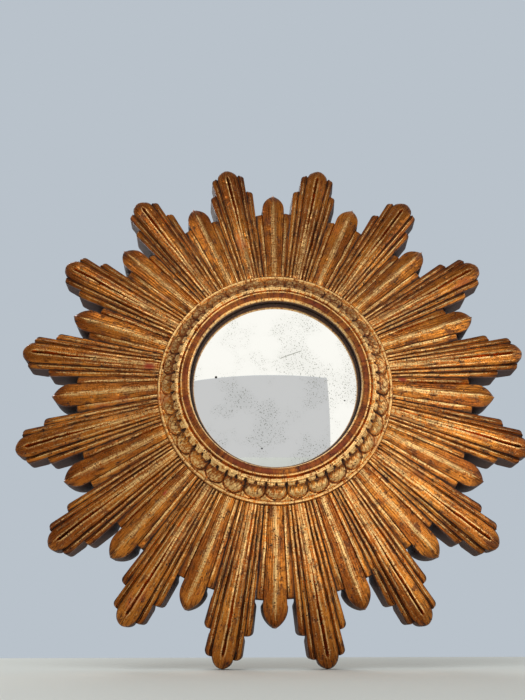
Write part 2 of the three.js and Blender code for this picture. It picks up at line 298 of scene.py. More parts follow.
@dataclass(frozen=True)
class Gilding:
    """Old gold leaf on red bole, rubbed on the crests and toned with brown wax.

    To the eye: warm orange metal, cream where hands and cloths have polished it, with a painted
    highlight along the crests and painted glints; brown and nearly matt in the hollows, partly
    dirt and partly painted shade; dark painted shade on the side walls; with pits, cross-wise
    cracks in the gesso and red showing.
    Sizes are in mm; cracks and grain are drawn a little coarser than real, so that they show.
    """

    name: str = "aged_gold_leaf"
    leaf: str = "#E08B35"
    deep_leaf: str = "#AC5E22"
    # the worn crests, and also the painted highlight along them and the painted glints
    rubbed: str = "#FFD088"
    wax: str = "#6E3816"
    # tool marks, pits and dirt, and also the painted shade in the hollows
    hollow: str = "#281308"
    bole: str = "#AA4220"
    # painted shade of the side walls, the ribs' ends and the ring's walls
    side: str = "#3C2114"
    cloud: float = 26.0
    blotch: float = 5.5
    tool_mark: float = 1.4
    crack: float = 1.6
    grain: float = 1.8
    pit: float = 3.4

    def material(self) -> bpy.types.Material:
        """Builds the node tree: leaf in clouds of tone, then wax, wear with a painted highlight and
        glints, cracks, pits, dirt with painted shade and the painted shade of the walls.

        Returns:
            The material. It reads the piece's own map and its tone, wall and bare channels.
        """
        material, tree = blank(self.name)
        uv = add(tree, MAP, uv_map="carving")
        tone, wall, bare = (
            add(tree, CHANNEL, attribute_name=label).outputs["Fac"] for label in ("tone", "wall", "bare")
        )
        along = add(tree, MAPPING, {"Vector": uv, "Scale": (1.0, 0.09, 1.0)})
        over = add(tree, MAPPING, {"Vector": uv, "Scale": (0.25, 1.0, 1.0)})
        drawn = add(tree, MAPPING, {"Vector": uv, "Scale": (1.0, 0.38, 1.0)})
        clouds = add(tree, NOISE, {"Vector": drawn, "Scale": per(self.cloud), "Detail": 4.0})
        blotch = add(
            tree, NOISE,
            {"Vector": drawn, "Scale": per(self.blotch), "Detail": 5.0, "Roughness": 0.7, "Distortion": 0.4},
        )
        marks = add(
            tree, NOISE, {"Vector": along, "Scale": per(self.tool_mark), "Detail": 3.0, "Roughness": 0.6}
        )
        cracks = add(tree, NOISE, {"Vector": over, "Scale": per(self.crack), "Detail": 3.0, "Roughness": 0.6})
        grain = add(tree, NOISE, {"Vector": uv, "Scale": per(self.grain), "Detail": 2.0})
        pits = add(tree, CELLS, {"Vector": uv, "Scale": per(self.pit)})

        # nearness to the ring, which widens the rubbed and painted-highlight crests, and to the tips
        radius = add(tree, "ShaderNodeSeparateXYZ", {0: uv}).outputs["Y"]
        near = add(tree, RANGE, {"Value": radius, "From Min": 0.245, "From Max": 0.13, "To Max": 0.24})
        shown = add(tree, MATH, {0: tone, 1: near}, operation="ADD")
        tipped = add(
            tree, RANGE, {"Value": radius, "From Min": 0.215, "From Max": 0.27, "To Max": 0.4}, **SMOOTH
        )
        # the turned and carved ring is smoother than the rays
        turned = add(tree, RANGE, {"Value": radius, "From Min": 0.118, "From Max": 0.13, "To Min": 0.4})
        # how much of the deep tone, the wax and the tool marks shows
        bright = add(tree, RANGE, {"Value": clouds, "From Min": 0.4, "From Max": 0.6}, **SMOOTH)
        waxed = add(
            tree, RANGE, {"Value": blotch, "From Min": 0.49, "From Max": 0.62, "To Max": 0.85}, **SMOOTH
        )
        scored = add(
            tree, RANGE, {"Value": marks, "From Min": 0.53, "From Max": 0.63, "To Max": 0.7}, **SMOOTH
        )
        # where crests are rubbed and carry a painted highlight, broken up by the tool marks and the cracks
        crest = add(tree, RANGE, {"Value": shown, "From Min": 0.64, "From Max": 0.96}, **SMOOTH)
        rubs = add(tree, MATH, {0: marks, 1: cracks}, operation="ADD")
        kept = add(tree, RANGE, {"Value": rubs, "From Min": 0.86, "From Max": 1.02}, **SMOOTH)
        rub_and_highlight = add(tree, MATH, {0: crest, 1: kept}, operation="MULTIPLY")
        # painted glints: specks of the rubbed colour between the marks, fewer on the ring
        open_tone = add(tree, RANGE, {"Value": shown, "From Min": 0.35, "From Max": 0.85, "To Max": 0.45})
        spark = add(tree, RANGE, {"Value": grain, "From Min": 0.55, "From Max": 0.66}, **SMOOTH)
        painted_glint = add(tree, MATH, {0: open_tone, 1: spark}, operation="MULTIPLY")
        painted_glint = add(tree, MATH, {0: painted_glint, 1: turned}, operation="MULTIPLY")
        # dirt and painted shade in the hollows, thicker where the blotches are
        low = add(tree, RANGE, {"Value": tone, "From Min": 0.44, "From Max": 0.06}, **SMOOTH)
        thick = add(tree, RANGE, {"Value": blotch, "From Min": 0.3, "From Max": 0.55, "To Min": 0.6})
        dirt_and_shade = add(tree, MATH, {0: low, 1: thick}, operation="MULTIPLY")
        # cracks across, which thin out toward the tips, and pits
        crazed = add(
            tree, RANGE,
            {"Value": radius, "From Min": 0.235, "From Max": 0.15, "To Min": 0.15, "To Max": 0.65},
        )
        lines = add(tree, RANGE, {"Value": cracks, "From Min": 0.54, "From Max": 0.64}, **SMOOTH)
        lines = add(tree, MATH, {0: lines, 1: crazed}, operation="MULTIPLY")
        lines = add(tree, MATH, {0: lines, 1: turned}, operation="MULTIPLY")
        dots = add(tree, RANGE, {"Value": pits, "From Min": 0.27, "From Max": 0.15}, **SMOOTH)
        where = add(tree, RANGE, {"Value": blotch, "From Min": 0.48, "From Max": 0.56}, **SMOOTH)
        pitted = add(tree, MATH, {0: dots, 1: where}, operation="MULTIPLY")
        # red bole: in a few patches by the bare channel, and thinly in the brightest clouds
        ragged = add(tree, RANGE, {"Value": blotch, "From Min": 0.34, "From Max": 0.42}, **SMOOTH)
        patch = add(tree, MATH, {0: bare, 1: ragged}, operation="MULTIPLY")
        thin = add(
            tree, RANGE, {"Value": clouds, "From Min": 0.6, "From Max": 0.7, "To Max": 0.45}, **SMOOTH
        )
        red = add(tree, MATH, {0: patch, 1: thin}, operation="MAXIMUM")
        # painted shade: the dark side colour on the side walls, rib ends and the ring's inner walls
        wall_shade = add(tree, MATH, {0: wall, 1: 0.88}, operation="MULTIPLY")

        colour = linear(self.deep_leaf)
        coats = (
            (bright, self.leaf), (tipped, self.wax), (waxed, self.wax), (scored, self.hollow),
            (rub_and_highlight, self.rubbed), (painted_glint, self.rubbed), (lines, self.wax), (red, self.bole),
            (dirt_and_shade, self.hollow), (pitted, self.hollow), (wall_shade, self.side),
        )
        for share, paint in coats:
            colour = add(tree, MIX, {0: share, 6: colour, 7: linear(paint)}, data_type="RGBA").outputs[2]

        # wax, dirt and its painted shade, bole and the shaded side walls are dull; the rest is metal
        soiled = add(tree, MATH, {0: waxed, 1: 0.55}, operation="MULTIPLY")
        for share in (dirt_and_shade, pitted, wall_shade, red):
            soiled = add(tree, MATH, {0: soiled, 1: share}, operation="MAXIMUM")
        metal = add(tree, RANGE, {"Value": soiled, "To Min": 0.94, "To Max": 0.1})
        worn = add(tree, MATH, {0: lines, 1: 0.3, 2: soiled}, operation="MULTIPLY_ADD")
        rough = add(tree, RANGE, {"Value": worn, "To Min": 0.23, "To Max": 0.7})
        relief = add(tree, MATH, {0: grain, 1: 0.3}, operation="MULTIPLY")
        for pattern, depth in ((lines, -0.5), (marks, -0.6), (pitted, -0.6)):
            relief = add(tree, MATH, {0: pattern, 1: depth, 2: relief}, operation="MULTIPLY_ADD")
        relief = add(tree, MATH, {0: relief, 1: turned}, operation="MULTIPLY")
        bump = add(tree, BUMP, {"Height": relief, "Strength": 0.75, "Distance": 0.5 * MM})
        shader = add(
            tree, SHADER,
            {
                "Base Color": colour, "Metallic": metal, "Roughness": rough, "Normal": bump,
                "Specular IOR Level": 0.3,
            },
        )
        add(tree, OUTPUT, {"Surface": shader})
        return material


@dataclass(frozen=True)
class RawWood:
    """Bare limewood or pine at the back, browned by age.

    To the eye: matt brown wood with long open grain, faint saw marks across it and darker
    stains, where no two staves have quite the same tone. Sizes are in mm.
    """

    name: str
    light: str
    dark: str
    grain: float
    run: Grain
    stained: str = "#3E2A19"
    board: float = 260.0
    stain: float = 45.0
    saw_mark: float = 2.6

    def material(self) -> bpy.types.Material:
        """Builds grain, growth rings and saw marks, with a tone of its own for every stave.

        Returns:
            The material.
        """
        material, tree = blank(self.name)
        if self.run is Grain.ALONG_STAVE:
            place = add(tree, MAP, uv_map="carving").outputs["UV"]
        else:
            place = add(tree, PLACE).outputs["Object"]
        drawn = add(tree, MAPPING, {"Vector": place, "Scale": self.run.value})
        sawn = add(tree, MAPPING, {"Vector": place, "Rotation": (0.0, 0.0, 0.12), "Scale": (0.15, 1.0, 1.0)})
        board = add(tree, MAPPING, {"Vector": place, "Scale": (1.0, 0.0, 0.0)})
        fibre = add(
            tree, NOISE,
            {"Vector": drawn, "Scale": per(self.grain), "Detail": 6.0, "Roughness": 0.65, "Distortion": 0.4},
        )
        rings = add(
            tree, NOISE, {"Vector": drawn, "Scale": per(self.grain * 7), "Detail": 2.0, "Distortion": 1.5}
        )
        stain = add(tree, NOISE, {"Vector": place, "Scale": per(self.stain), "Detail": 5.0})
        saw = add(tree, NOISE, {"Vector": sawn, "Scale": per(self.saw_mark), "Detail": 2.0})
        tone = add(tree, NOISE, {"Vector": board, "Scale": per(self.board), "Detail": 0.0})
        mixed = add(tree, MATH, {0: fibre, 1: rings}, operation="ADD")
        for pattern, share in ((tone, 0.9), (saw, 0.35)):
            mixed = add(tree, MATH, {0: pattern, 1: share, 2: mixed}, operation="MULTIPLY_ADD")
        darker = add(tree, RANGE, {"Value": mixed, "From Min": 1.38, "From Max": 1.92})
        aged = add(tree, RANGE, {"Value": stain, "From Min": 0.45, "From Max": 0.75, "To Max": 0.6})
        colour = linear(self.light)
        for share, paint in ((darker, self.dark), (aged, self.stained)):
            colour = add(tree, MIX, {0: share, 6: colour, 7: linear(paint)}, data_type="RGBA").outputs[2]
        relief = add(tree, MATH, {0: fibre, 1: 0.8}, operation="MULTIPLY")
        relief = add(tree, MATH, {0: saw, 1: 0.5, 2: relief}, operation="MULTIPLY_ADD")
        bump = add(tree, BUMP, {"Height": relief, "Strength": 0.7, "Distance": 0.4 * MM})
        shader = add(tree, SHADER, {"Base Color": colour, "Roughness": 0.82, "Normal": bump})
        add(tree, OUTPUT, {"Surface": shader})
        return material


@dataclass(frozen=True)
class OldMetal:
    """Small turned or pressed fittings of steel or brass.

    To the eye: metal whose shine has gone dull in clouds, with a fine spotted skin. The
    clouds are spots mm across.
    """

    name: str
    bright: str
    dull: str
    spots: float
    skin: float = 0.5

    def material(self) -> bpy.types.Material:
        """Builds clouds of tarnish and finer spots over the metal.

        Returns:
            The material.
        """
        material, tree = blank(self.name)
        place = add(tree, PLACE).outputs["Object"]
        clouds = add(tree, NOISE, {"Vector": place, "Scale": per(self.spots), "Detail": 5.0})
        fine = add(tree, NOISE, {"Vector": place, "Scale": per(self.skin), "Detail": 2.0})
        share = add(tree, RANGE, {"Value": clouds, "From Min": 0.4, "From Max": 0.62}, **SMOOTH)
        paints = {0: share, 6: linear(self.bright), 7: linear(self.dull)}
        colour = add(tree, MIX, paints, data_type="RGBA").outputs[2]
        metal = add(tree, RANGE, {"Value": share, "To Min": 1.0, "To Max": 0.35})
        rough = add(tree, RANGE, {"Value": share, "To Min": 0.3, "To Max": 0.65})
        bump = add(tree, BUMP, {"Height": fine, "Strength": 0.4, "Distance": 0.1 * MM})
        shader = add(
            tree, SHADER, {"Base Color": colour, "Metallic": metal, "Roughness": rough, "Normal": bump}
        )
        add(tree, OUTPUT, {"Surface": shader})
        return material


@dataclass(frozen=True)
class Silvering:
    """Silvered convex plate with foxing: a bright mirror with grey-green freckles and a scratch.

    To the eye: sharp reflections, hardly hazy, with clusters of fine specks where damp has
    reached the silver, a few black spots and a dull rim. Places are x and z in mm, and a
    spot is its place and its radius; the scratch is its middle, length and slant in degrees.
    """

    name: str = "foxed_mirror_silver"
    silver: str = "#FBFBF8"
    haze: str = "#E2E3DF"
    freckle: str = "#7F8174"
    spot: str = "#191512"
    speck: float = 1.7
    cluster: float = 34.0
    ragged: float = 1.1
    spots: tuple[tuple[float, float, float], ...] = (
        (-58.7, 5.4, 1.2), (-13.6, -65.2, 0.7), (67.8, -17.6, 0.6),
    )
    scratch: tuple[float, float, float, float] = (15.0, 28.0, 25.0, -21.0)
    rim_r: float = 83.6

    def away(
        self, tree: bpy.types.NodeTree, place: bpy.types.NodeSocket, x: float, z: float
    ) -> bpy.types.NodeSocket:
        """Distance of a point of the face from a place, seen from the front.

        Args:
            tree: the node tree.
            place: the socket with the point's coordinates.
            x: the place across in mm.
            z: the place upward in mm.

        Returns:
            The socket with the distance in metres.
        """
        moved = add(tree, VECTOR, {0: place, 1: (x * MM, 0.0, z * MM)}, operation="SUBTRACT")
        level = add(tree, VECTOR, {0: moved, 1: (1.0, 0.0, 1.0)}, operation="MULTIPLY")
        return add(tree, VECTOR, {0: level}, operation="LENGTH").outputs["Value"]

    def scratched(self, tree: bpy.types.NodeTree, place: bpy.types.NodeSocket) -> bpy.types.Node:
        """Share of the scratch: a strip about half a mm to each side of a slanted line.

        Args:
            tree: the node tree.
            place: the socket with the point's coordinates.

        Returns:
            The node that gives the share.
        """
        x, z, length, slant = self.scratch
        turned = add(
            tree, MAPPING,
            {"Vector": place, "Location": (x * MM, 0.0, z * MM), "Rotation": (0.0, math.radians(slant), 0.0)},
            vector_type="TEXTURE",
        )
        parts = add(tree, "ShaderNodeSeparateXYZ", {0: turned}).outputs
        span = add(tree, MATH, {0: parts["X"]}, operation="ABSOLUTE")
        span = add(tree, RANGE, {"Value": span, "From Min": 0.5 * length * MM, "From Max": 0.4 * length * MM})
        narrow = add(tree, MATH, {0: parts["Z"]}, operation="ABSOLUTE")
        narrow = add(tree, RANGE, {"Value": narrow, "From Min": 0.5 * MM, "From Max": 0.2 * MM})
        share = add(tree, MATH, {0: span, 1: narrow}, operation="MULTIPLY")
        return add(tree, MATH, {0: share, 1: 0.85}, operation="MULTIPLY")

    def material(self) -> bpy.types.Material:
        """Builds freckles from cells gated by clouds, then spots, the scratch and the rim.

        Returns:
            The material.
        """
        material, tree = blank(self.name)
        place = add(tree, PLACE).outputs["Object"]
        clouds = add(tree, NOISE, {"Vector": place, "Scale": per(self.cluster), "Detail": 4.0})
        cells = add(tree, CELLS, {"Vector": place, "Scale": per(self.speck)})
        edge = add(tree, NOISE, {"Vector": place, "Scale": per(self.ragged), "Detail": 3.0})
        dots = add(tree, RANGE, {"Value": cells, "From Min": 0.46, "From Max": 0.26}, **SMOOTH)
        gate = add(tree, RANGE, {"Value": clouds, "From Min": 0.46, "From Max": 0.58}, **SMOOTH)
        torn = add(tree, RANGE, {"Value": edge, "From Min": 0.46, "From Max": 0.56}, **SMOOTH)
        freckled = add(tree, MATH, {0: dots, 1: gate}, operation="MULTIPLY")
        freckled = add(tree, MATH, {0: freckled, 1: torn}, operation="MULTIPLY")
        freckled = add(tree, MATH, {0: freckled, 1: 0.7}, operation="MULTIPLY")
        hazed = add(
            tree, RANGE, {"Value": clouds, "From Min": 0.42, "From Max": 0.7, "To Max": 0.35}, **SMOOTH
        )
        coats = [(hazed, self.haze), (freckled, self.freckle)]
        for x, z, size in self.spots:
            far = add(
                tree, MATH, {0: edge, 1: 0.9 * MM, 2: self.away(tree, place, x, z)}, operation="MULTIPLY_ADD"
            )
            limits = {"From Min": (size + 0.75) * MM, "From Max": (size + 0.25) * MM}
            coats.append((add(tree, RANGE, {"Value": far, **limits}), self.spot))
        coats.append((self.scratched(tree, place), self.freckle))
        out = add(
            tree, MATH, {0: edge, 1: 1.2 * MM, 2: self.away(tree, place, 0, 0)}, operation="MULTIPLY_ADD"
        )
        limits = {"From Min": self.rim_r * MM, "From Max": (self.rim_r + 1.0) * MM}
        coats.append((add(tree, RANGE, {"Value": out, **limits}), self.freckle))
        colour = linear(self.silver)
        for share, paint in coats:
            colour = add(tree, MIX, {0: share, 6: colour, 7: linear(paint)}, data_type="RGBA").outputs[2]
        rough = add(tree, RANGE, {"Value": freckled, "To Min": 0.02, "To Max": 0.3})
        shader = add(tree, SHADER, {"Base Color": colour, "Metallic": 1.0, "Roughness": rough})
        add(tree, OUTPUT, {"Surface": shader})
        return material


@dataclass(frozen=True)
class BackingPaint:
    """Grey-brown paint that seals the silver on the hollow side of the glass.

    To the eye: dull brushed paint, slightly mottled.
    """

    name: str = "backing_paint"
    paint: str = "#5A5148"
    thin: str = "#776B5E"
    mottle: float = 9.0

    def material(self) -> bpy.types.Material:
        """Builds a brushed, slightly mottled paint.

        Returns:
            The material.
        """
        material, tree = blank(self.name)
        place = add(tree, PLACE).outputs["Object"]
        mottle = add(tree, NOISE, {"Vector": place, "Scale": per(self.mottle), "Detail": 4.0})
        paints = {0: mottle, 6: linear(self.paint), 7: linear(self.thin)}
        colour = add(tree, MIX, paints, data_type="RGBA").outputs[2]
        bump = add(tree, BUMP, {"Height": mottle, "Strength": 0.3, "Distance": 0.2 * MM})
        shader = add(tree, SHADER, {"Base Color": colour, "Roughness": 0.7, "Normal": bump})
        add(tree, OUTPUT, {"Surface": shader})
        return material


# ------------------------------------------------------------------ rays


@dataclass
class Line:
    """A carved line across, as angle in degrees, drop in mm and tone at radius by column."""

    angle: Array
    drop: Array
    # tone: 1 on crests, for wear and a painted highlight; 0 in hollows, for dirt and painted shade
    tone: Array

    def flipped(self) -> "Line":
        """The same line on the other side of the ray."""
        return Line(-self.angle[:, ::-1], self.drop[:, ::-1], self.tone[:, ::-1])

    def beside(self, other: "Line") -> "Line":
        """This line with the other one on its right, sharing the column where they meet."""
        pairs = ((self.angle, other.angle), (self.drop, other.drop), (self.tone, other.tone))
        return Line(*(np.concatenate([a[:, :-1], b], 1) for a, b in pairs))

    def narrowed(self, width: Array) -> "Line":
        """The line drawn in to a share of its width at each radius."""
        return Line(self.angle * width[:, None], self.drop, self.tone)


@dataclass
class Knots:
    """A rib's line across at every radius: angles in degrees and drops below the face in mm.

    Between two knots the angle runs evenly and the drop goes share**bow of its way, so a
    bow below 1 leaves a crest steeply, as a gouge cuts it, and one above 1 rolls over it.
    """

    angles: list[Array]
    drops: list[Array]
    tones: list[float]
    bows: list[float]
    counts: list[int]

    def line(self) -> Line:
        """Works out the carved line at every column.

        Returns:
            The line, as radius by column.
        """
        angle, drop, tone = [], [], []
        for k, count in enumerate(self.counts):
            t = np.linspace(0, 1, count, endpoint=False)[None, :]
            share = t ** self.bows[k]
            a0, a1 = self.angles[k][:, None], self.angles[k + 1][:, None]
            d0, d1 = self.drops[k][:, None], self.drops[k + 1][:, None]
            angle.append(a0 + (a1 - a0) * t)
            drop.append(d0 + (d1 - d0) * share)
            tone.append(self.tones[k] + (self.tones[k + 1] - self.tones[k]) * share + 0 * a0)
        angle.append(self.angles[-1][:, None])
        drop.append(self.drops[-1][:, None])
        tone.append(self.tones[-1] + 0 * self.angles[-1][:, None])
        return Line(*(np.concatenate(part, 1) for part in (angle, drop, tone)))


def meeting(halves: list[Knots]) -> Line:
    """Joins a left and a right half, each cut from the centre outward, at the centre line.

    Args:
        halves: the left half and the right half.

    Returns:
        The whole line across, from left to right.
    """
    return halves[0].line().flipped().beside(halves[1].line())


@dataclass(frozen=True)
class Pocket:
    """A pocket routed into the back: the radii of its ends, its half width and its depth."""

    low: float = 0.0
    high: float = 0.0
    half: float = 0.0
    deep: float = 0.0


@dataclass(frozen=True)
class Patch:
    """Where the leaf is rubbed through: radius, place across, half length and half width.

    The one without sizes lies off every ray.
    """

    radius: float = 0.0
    across: float = 0.0
    half_length: float = 1.0
    half_width: float = 1.0


@dataclass
class Ray:
    """What long and short rays share: the conical face, the turned recess and the back."""

    index: int
    from_top: float
    tip_r: float = 275.0
    tip_thickness: float = 21.0
    face_rise: float = 0.335
    draft: float = 0.06
    bore_r: float = 92.0
    seat_r: float = 118.3
    seat_h: float = 69.7
    rebate_r: float = 105.0
    rebate_h: float = 4.3
    glue: float = 0.15
    long_half: float = 5.8
    flank_r: float = 206.0
    pocket: Pocket = Pocket()
    bare: Patch = Patch()
    step: float = 1.25
    dents: int = 22
    flute: float = 0.28
    flute_pitch: float = 0.82
    apart: float = 400.0

    def seed(self, line: int) -> int:
        """Number of one hand-cut line of this ray."""
        return 7919 * (self.index + 1) + line

    def cut(self, r: Array, angle: float, number: int, amount: float = 0.1) -> Array:
        """A cut line at a nominal angle that wanders by up to amount degrees."""
        return angle + amount * drift(r, self.seed(number))

    def depth(self, r: Array, drop: float, number: int, amount: float = 0.3) -> Array:
        """A drop that wanders by up to amount mm."""
        return drop + amount * drift(r, self.seed(50 + number))

    def stations(self, end: float, soft: float) -> Array:
        """Radii of the cross-sections, doubled at each turned step and close at the end.

        Args:
            end: radius of the rib's end.
            soft: length before it over which the sections draw together, as a sine does.

        Returns:
            The radii, from the bore outward.
        """
        body = np.arange(self.seat_r + 0.4, end - soft, self.step)
        roots = [self.bore_r, 98.0, self.rebate_r - 0.05, self.rebate_r + 0.05, 112.0]
        close = end - soft * (1 - np.sin(np.linspace(0, np.pi / 2, max(5, int(soft * 1.1)))))
        pocket = []
        if self.pocket.deep:
            pocket = [v for e in (self.pocket.low, self.pocket.high) for v in (e - 0.03, e + 0.03)]
        lines = [roots, [self.seat_r - 0.05, self.seat_r + 0.05], pocket, body, close]
        return np.unique(np.round(np.concatenate(lines), 3))

    def dented(self, r: Array, across: Array) -> Array:
        """Depth of the seeded knocks and worm holes, each a Gaussian hollow.

        Args:
            r: radius of each point.
            across: place of each point across the ray in mm.

        Returns:
            The depth of the hollows at each point in mm.
        """
        rng = np.random.default_rng(self.seed(99))
        place_r, place_x = rng.uniform(122, 268, self.dents), rng.uniform(-24, 24, self.dents)
        size, deep = rng.uniform(0.6, 1.5, self.dents), rng.uniform(0.3, 1.0, self.dents)
        hits = zip(place_r, place_x, size, deep)
        return sum(d * np.exp(-((r - a) ** 2 + (across - b) ** 2) / (2 * s * s)) for a, b, s, d in hits)

    def carved(self, r: Array, line: Line, end: float, sag: Array) -> tuple[Array, Array]:
        """The top of a rib, at the height of the conical face less the drops.

        The drops grow with the radius. A fine flute, flute (1 + sine of the angle) mm, is what
        the gouge has left, and it fades toward the tips. The end is worn round, and the root
        dips into the seat of the ring.

        Args:
            r: radii of the sections.
            line: the carved line across.
            end: radius of the rib's end.
            sag: extra drop at each radius.

        Returns:
            Height and tone, radius by column.
        """
        radius = r[:, None]
        worn = 0.9 * smoothstep(end - 1.2, end, radius) ** 2
        root = 0.7 * smoothstep(self.seat_r + 5, self.seat_r, radius)
        face = self.tip_thickness + self.face_rise * (self.tip_r - radius)
        top = face - line.drop * radius / self.tip_r - sag[:, None] - worn - root
        top = top - self.dented(radius, radius * np.radians(line.angle))
        wander = 1.5 * drift(radius, self.seed(7))
        fine = np.sin(2 * np.pi * line.angle / self.flute_pitch + wander + self.index)
        fine = fine * (1.0 - 0.6 * smoothstep(150.0, 235.0, radius))
        top = top - self.flute * (1 + fine)
        top = np.where(radius < self.seat_r, np.minimum(top, self.seat_h), top)
        # the fine flutes add painted highlight and shade to the tone; it drops toward the end
        tone = np.clip(line.tone + 0.1 * fine * (line.tone < 0.8), 0, 1)
        return top, tone * (1 - 0.4 * smoothstep(end - 18, end - 2, radius))

    def shell(
        self,
        r: Array,
        line: Line,
        edges: tuple[Array, Array],
        free: tuple[float, float],
        end: float,
        sag: Array,
    ) -> Surface:
        """A closed rib: its carved top, two side walls, its back and its ends.

        The walls run straight from the top's edges down to the feet, and lean out by the
        draft where the rib stands free.

        Args:
            r: radii of the sections.
            line: the carved line across.
            edges: nominal angles of the left and right feet at each radius.
            free: radii beyond which the left and the right wall stand free.
            end: radius of the rib's end, whose upper edge is worn round.
            sag: extra drop at each radius.

        Returns:
            The rib as a surface.
        """
        angle, radius = line.angle, r[:, None]
        top, tone = self.carved(r, line, end, sag)
        base = np.where(r < self.rebate_r, self.rebate_h, 0.0)
        lean, lean_right = (np.degrees(self.draft * smoothstep(f, f + 6, r) / r) for f in free)
        left = [np.flip(v, 1) for v in self.side(angle[:, 0], top[:, 0], edges[0] - lean * top[:, 0], base)]
        right = self.side(angle[:, -1], top[:, -1], edges[1] + lean_right * top[:, -1], base)
        # the end face counts as wall, so it takes the painted wall shade as well
        ended = np.broadcast_to(smoothstep(end - 0.9, end - 0.1, radius), angle.shape)
        parts = [left, (angle, top, tone, ended), right, self.bottom(r, left[0][:, 0], right[0][:, -1], base)]
        a, h, tones, walls = (np.concatenate([p[k] for p in parts], 1) for k in range(4))
        rows, columns = a.shape
        turn = np.radians(a + self.from_top)
        points = np.stack([radius * np.sin(turn), -h, radius * np.cos(turn)], -1).reshape(-1, 3) * MM
        quads, caps = facing_out(points, rows, columns, False)
        under = columns - parts[-1][0].shape[1] - 1
        skins = np.where(np.tile(np.arange(columns) >= under, rows - 1), Skin.BACK.value, Skin.FACE.value)
        offset = self.apart * self.index
        fall = np.maximum(top.max(1)[:, None] - h, 0.0) * (walls > 0)
        spread = radius * np.radians(a)
        wrap = np.stack([spread + np.sign(a) * fall + offset, radius + 0 * a], -1).reshape(-1, 2) * MM
        flat = np.stack([spread + offset, radius + 0 * a], -1).reshape(-1, 2) * MM
        channels = {"tone": tones, "wall": walls, "bare": self.rubbed_through(radius, spread)}
        channels = {label: values.reshape(-1) for label, values in channels.items()}
        return Surface(points, quads, skins, channels, wrap, flat, caps)

    def side(self, angle: Array, high: Array, foot: Array, low: Array) -> tuple[Array, Array, Array, Array]:
        """One side wall, straight from the top's edge down to its foot.

        Args:
            angle: angle of the top's edge at each radius.
            high: height of that edge.
            foot: angle of the foot.
            low: height of the foot.

        Returns:
            Angle, height, tone and wall share of five columns going down.
        """
        down = np.array([[0.03, 0.09, 0.3, 0.65, 1.0]])
        # the wall share gives these columns the painted shade of the side walls
        wall = np.broadcast_to(np.clip(down * 14, 0, 1), (len(angle), down.size))
        angles = angle[:, None] + (foot - angle)[:, None] * down
        heights = high[:, None] + (low - high)[:, None] * down
        return angles, heights, np.full(angles.shape, 0.3), wall

    def rubbed_through(self, r: Array, across: Array) -> Array:
        """Share of bare red bole: 1 inside the patch, fading out as exp(-u^4 - v^4).

        Args:
            r: radius of each point.
            across: place of each point across the ray in mm.

        Returns:
            The share at each point.
        """
        u = (r - self.bare.radius) / self.bare.half_length
        v = (across - self.bare.across) / self.bare.half_width
        return np.exp(-(u**4) - v**4)

    def bottom(self, r: Array, left: Array, right: Array, base: Array) -> tuple[Array, Array, Array, Array]:
        """The back of a rib from right to left, stepping up where the hanger's pocket is.

        Args:
            r: radii of the sections.
            left: angle of the left foot at each radius.
            right: angle of the right foot.
            base: height of the back there.

        Returns:
            Angle, height, tone and wall share of six columns.
        """
        inside = (r > self.pocket.low) & (r < self.pocket.high)
        edge = np.degrees(self.pocket.half / r)
        cut_left, cut_right = np.clip(-edge, left, right), np.clip(edge, left, right)
        open_ = inside & (cut_right - cut_left > 1e-6)
        floor = np.where(open_, self.pocket.deep, base)
        outer_right = np.where(open_ & (right - cut_right < 1e-6), self.pocket.deep, base)
        outer_left = np.where(open_ & (cut_left - left < 1e-6), self.pocket.deep, base)
        angles = np.stack([right, cut_right, cut_right, cut_left, cut_left, left], 1)
        heights = np.stack([outer_right, outer_right, floor, floor, outer_left, outer_left], 1)
        return angles, heights, np.full(angles.shape, 0.3), np.ones(angles.shape)


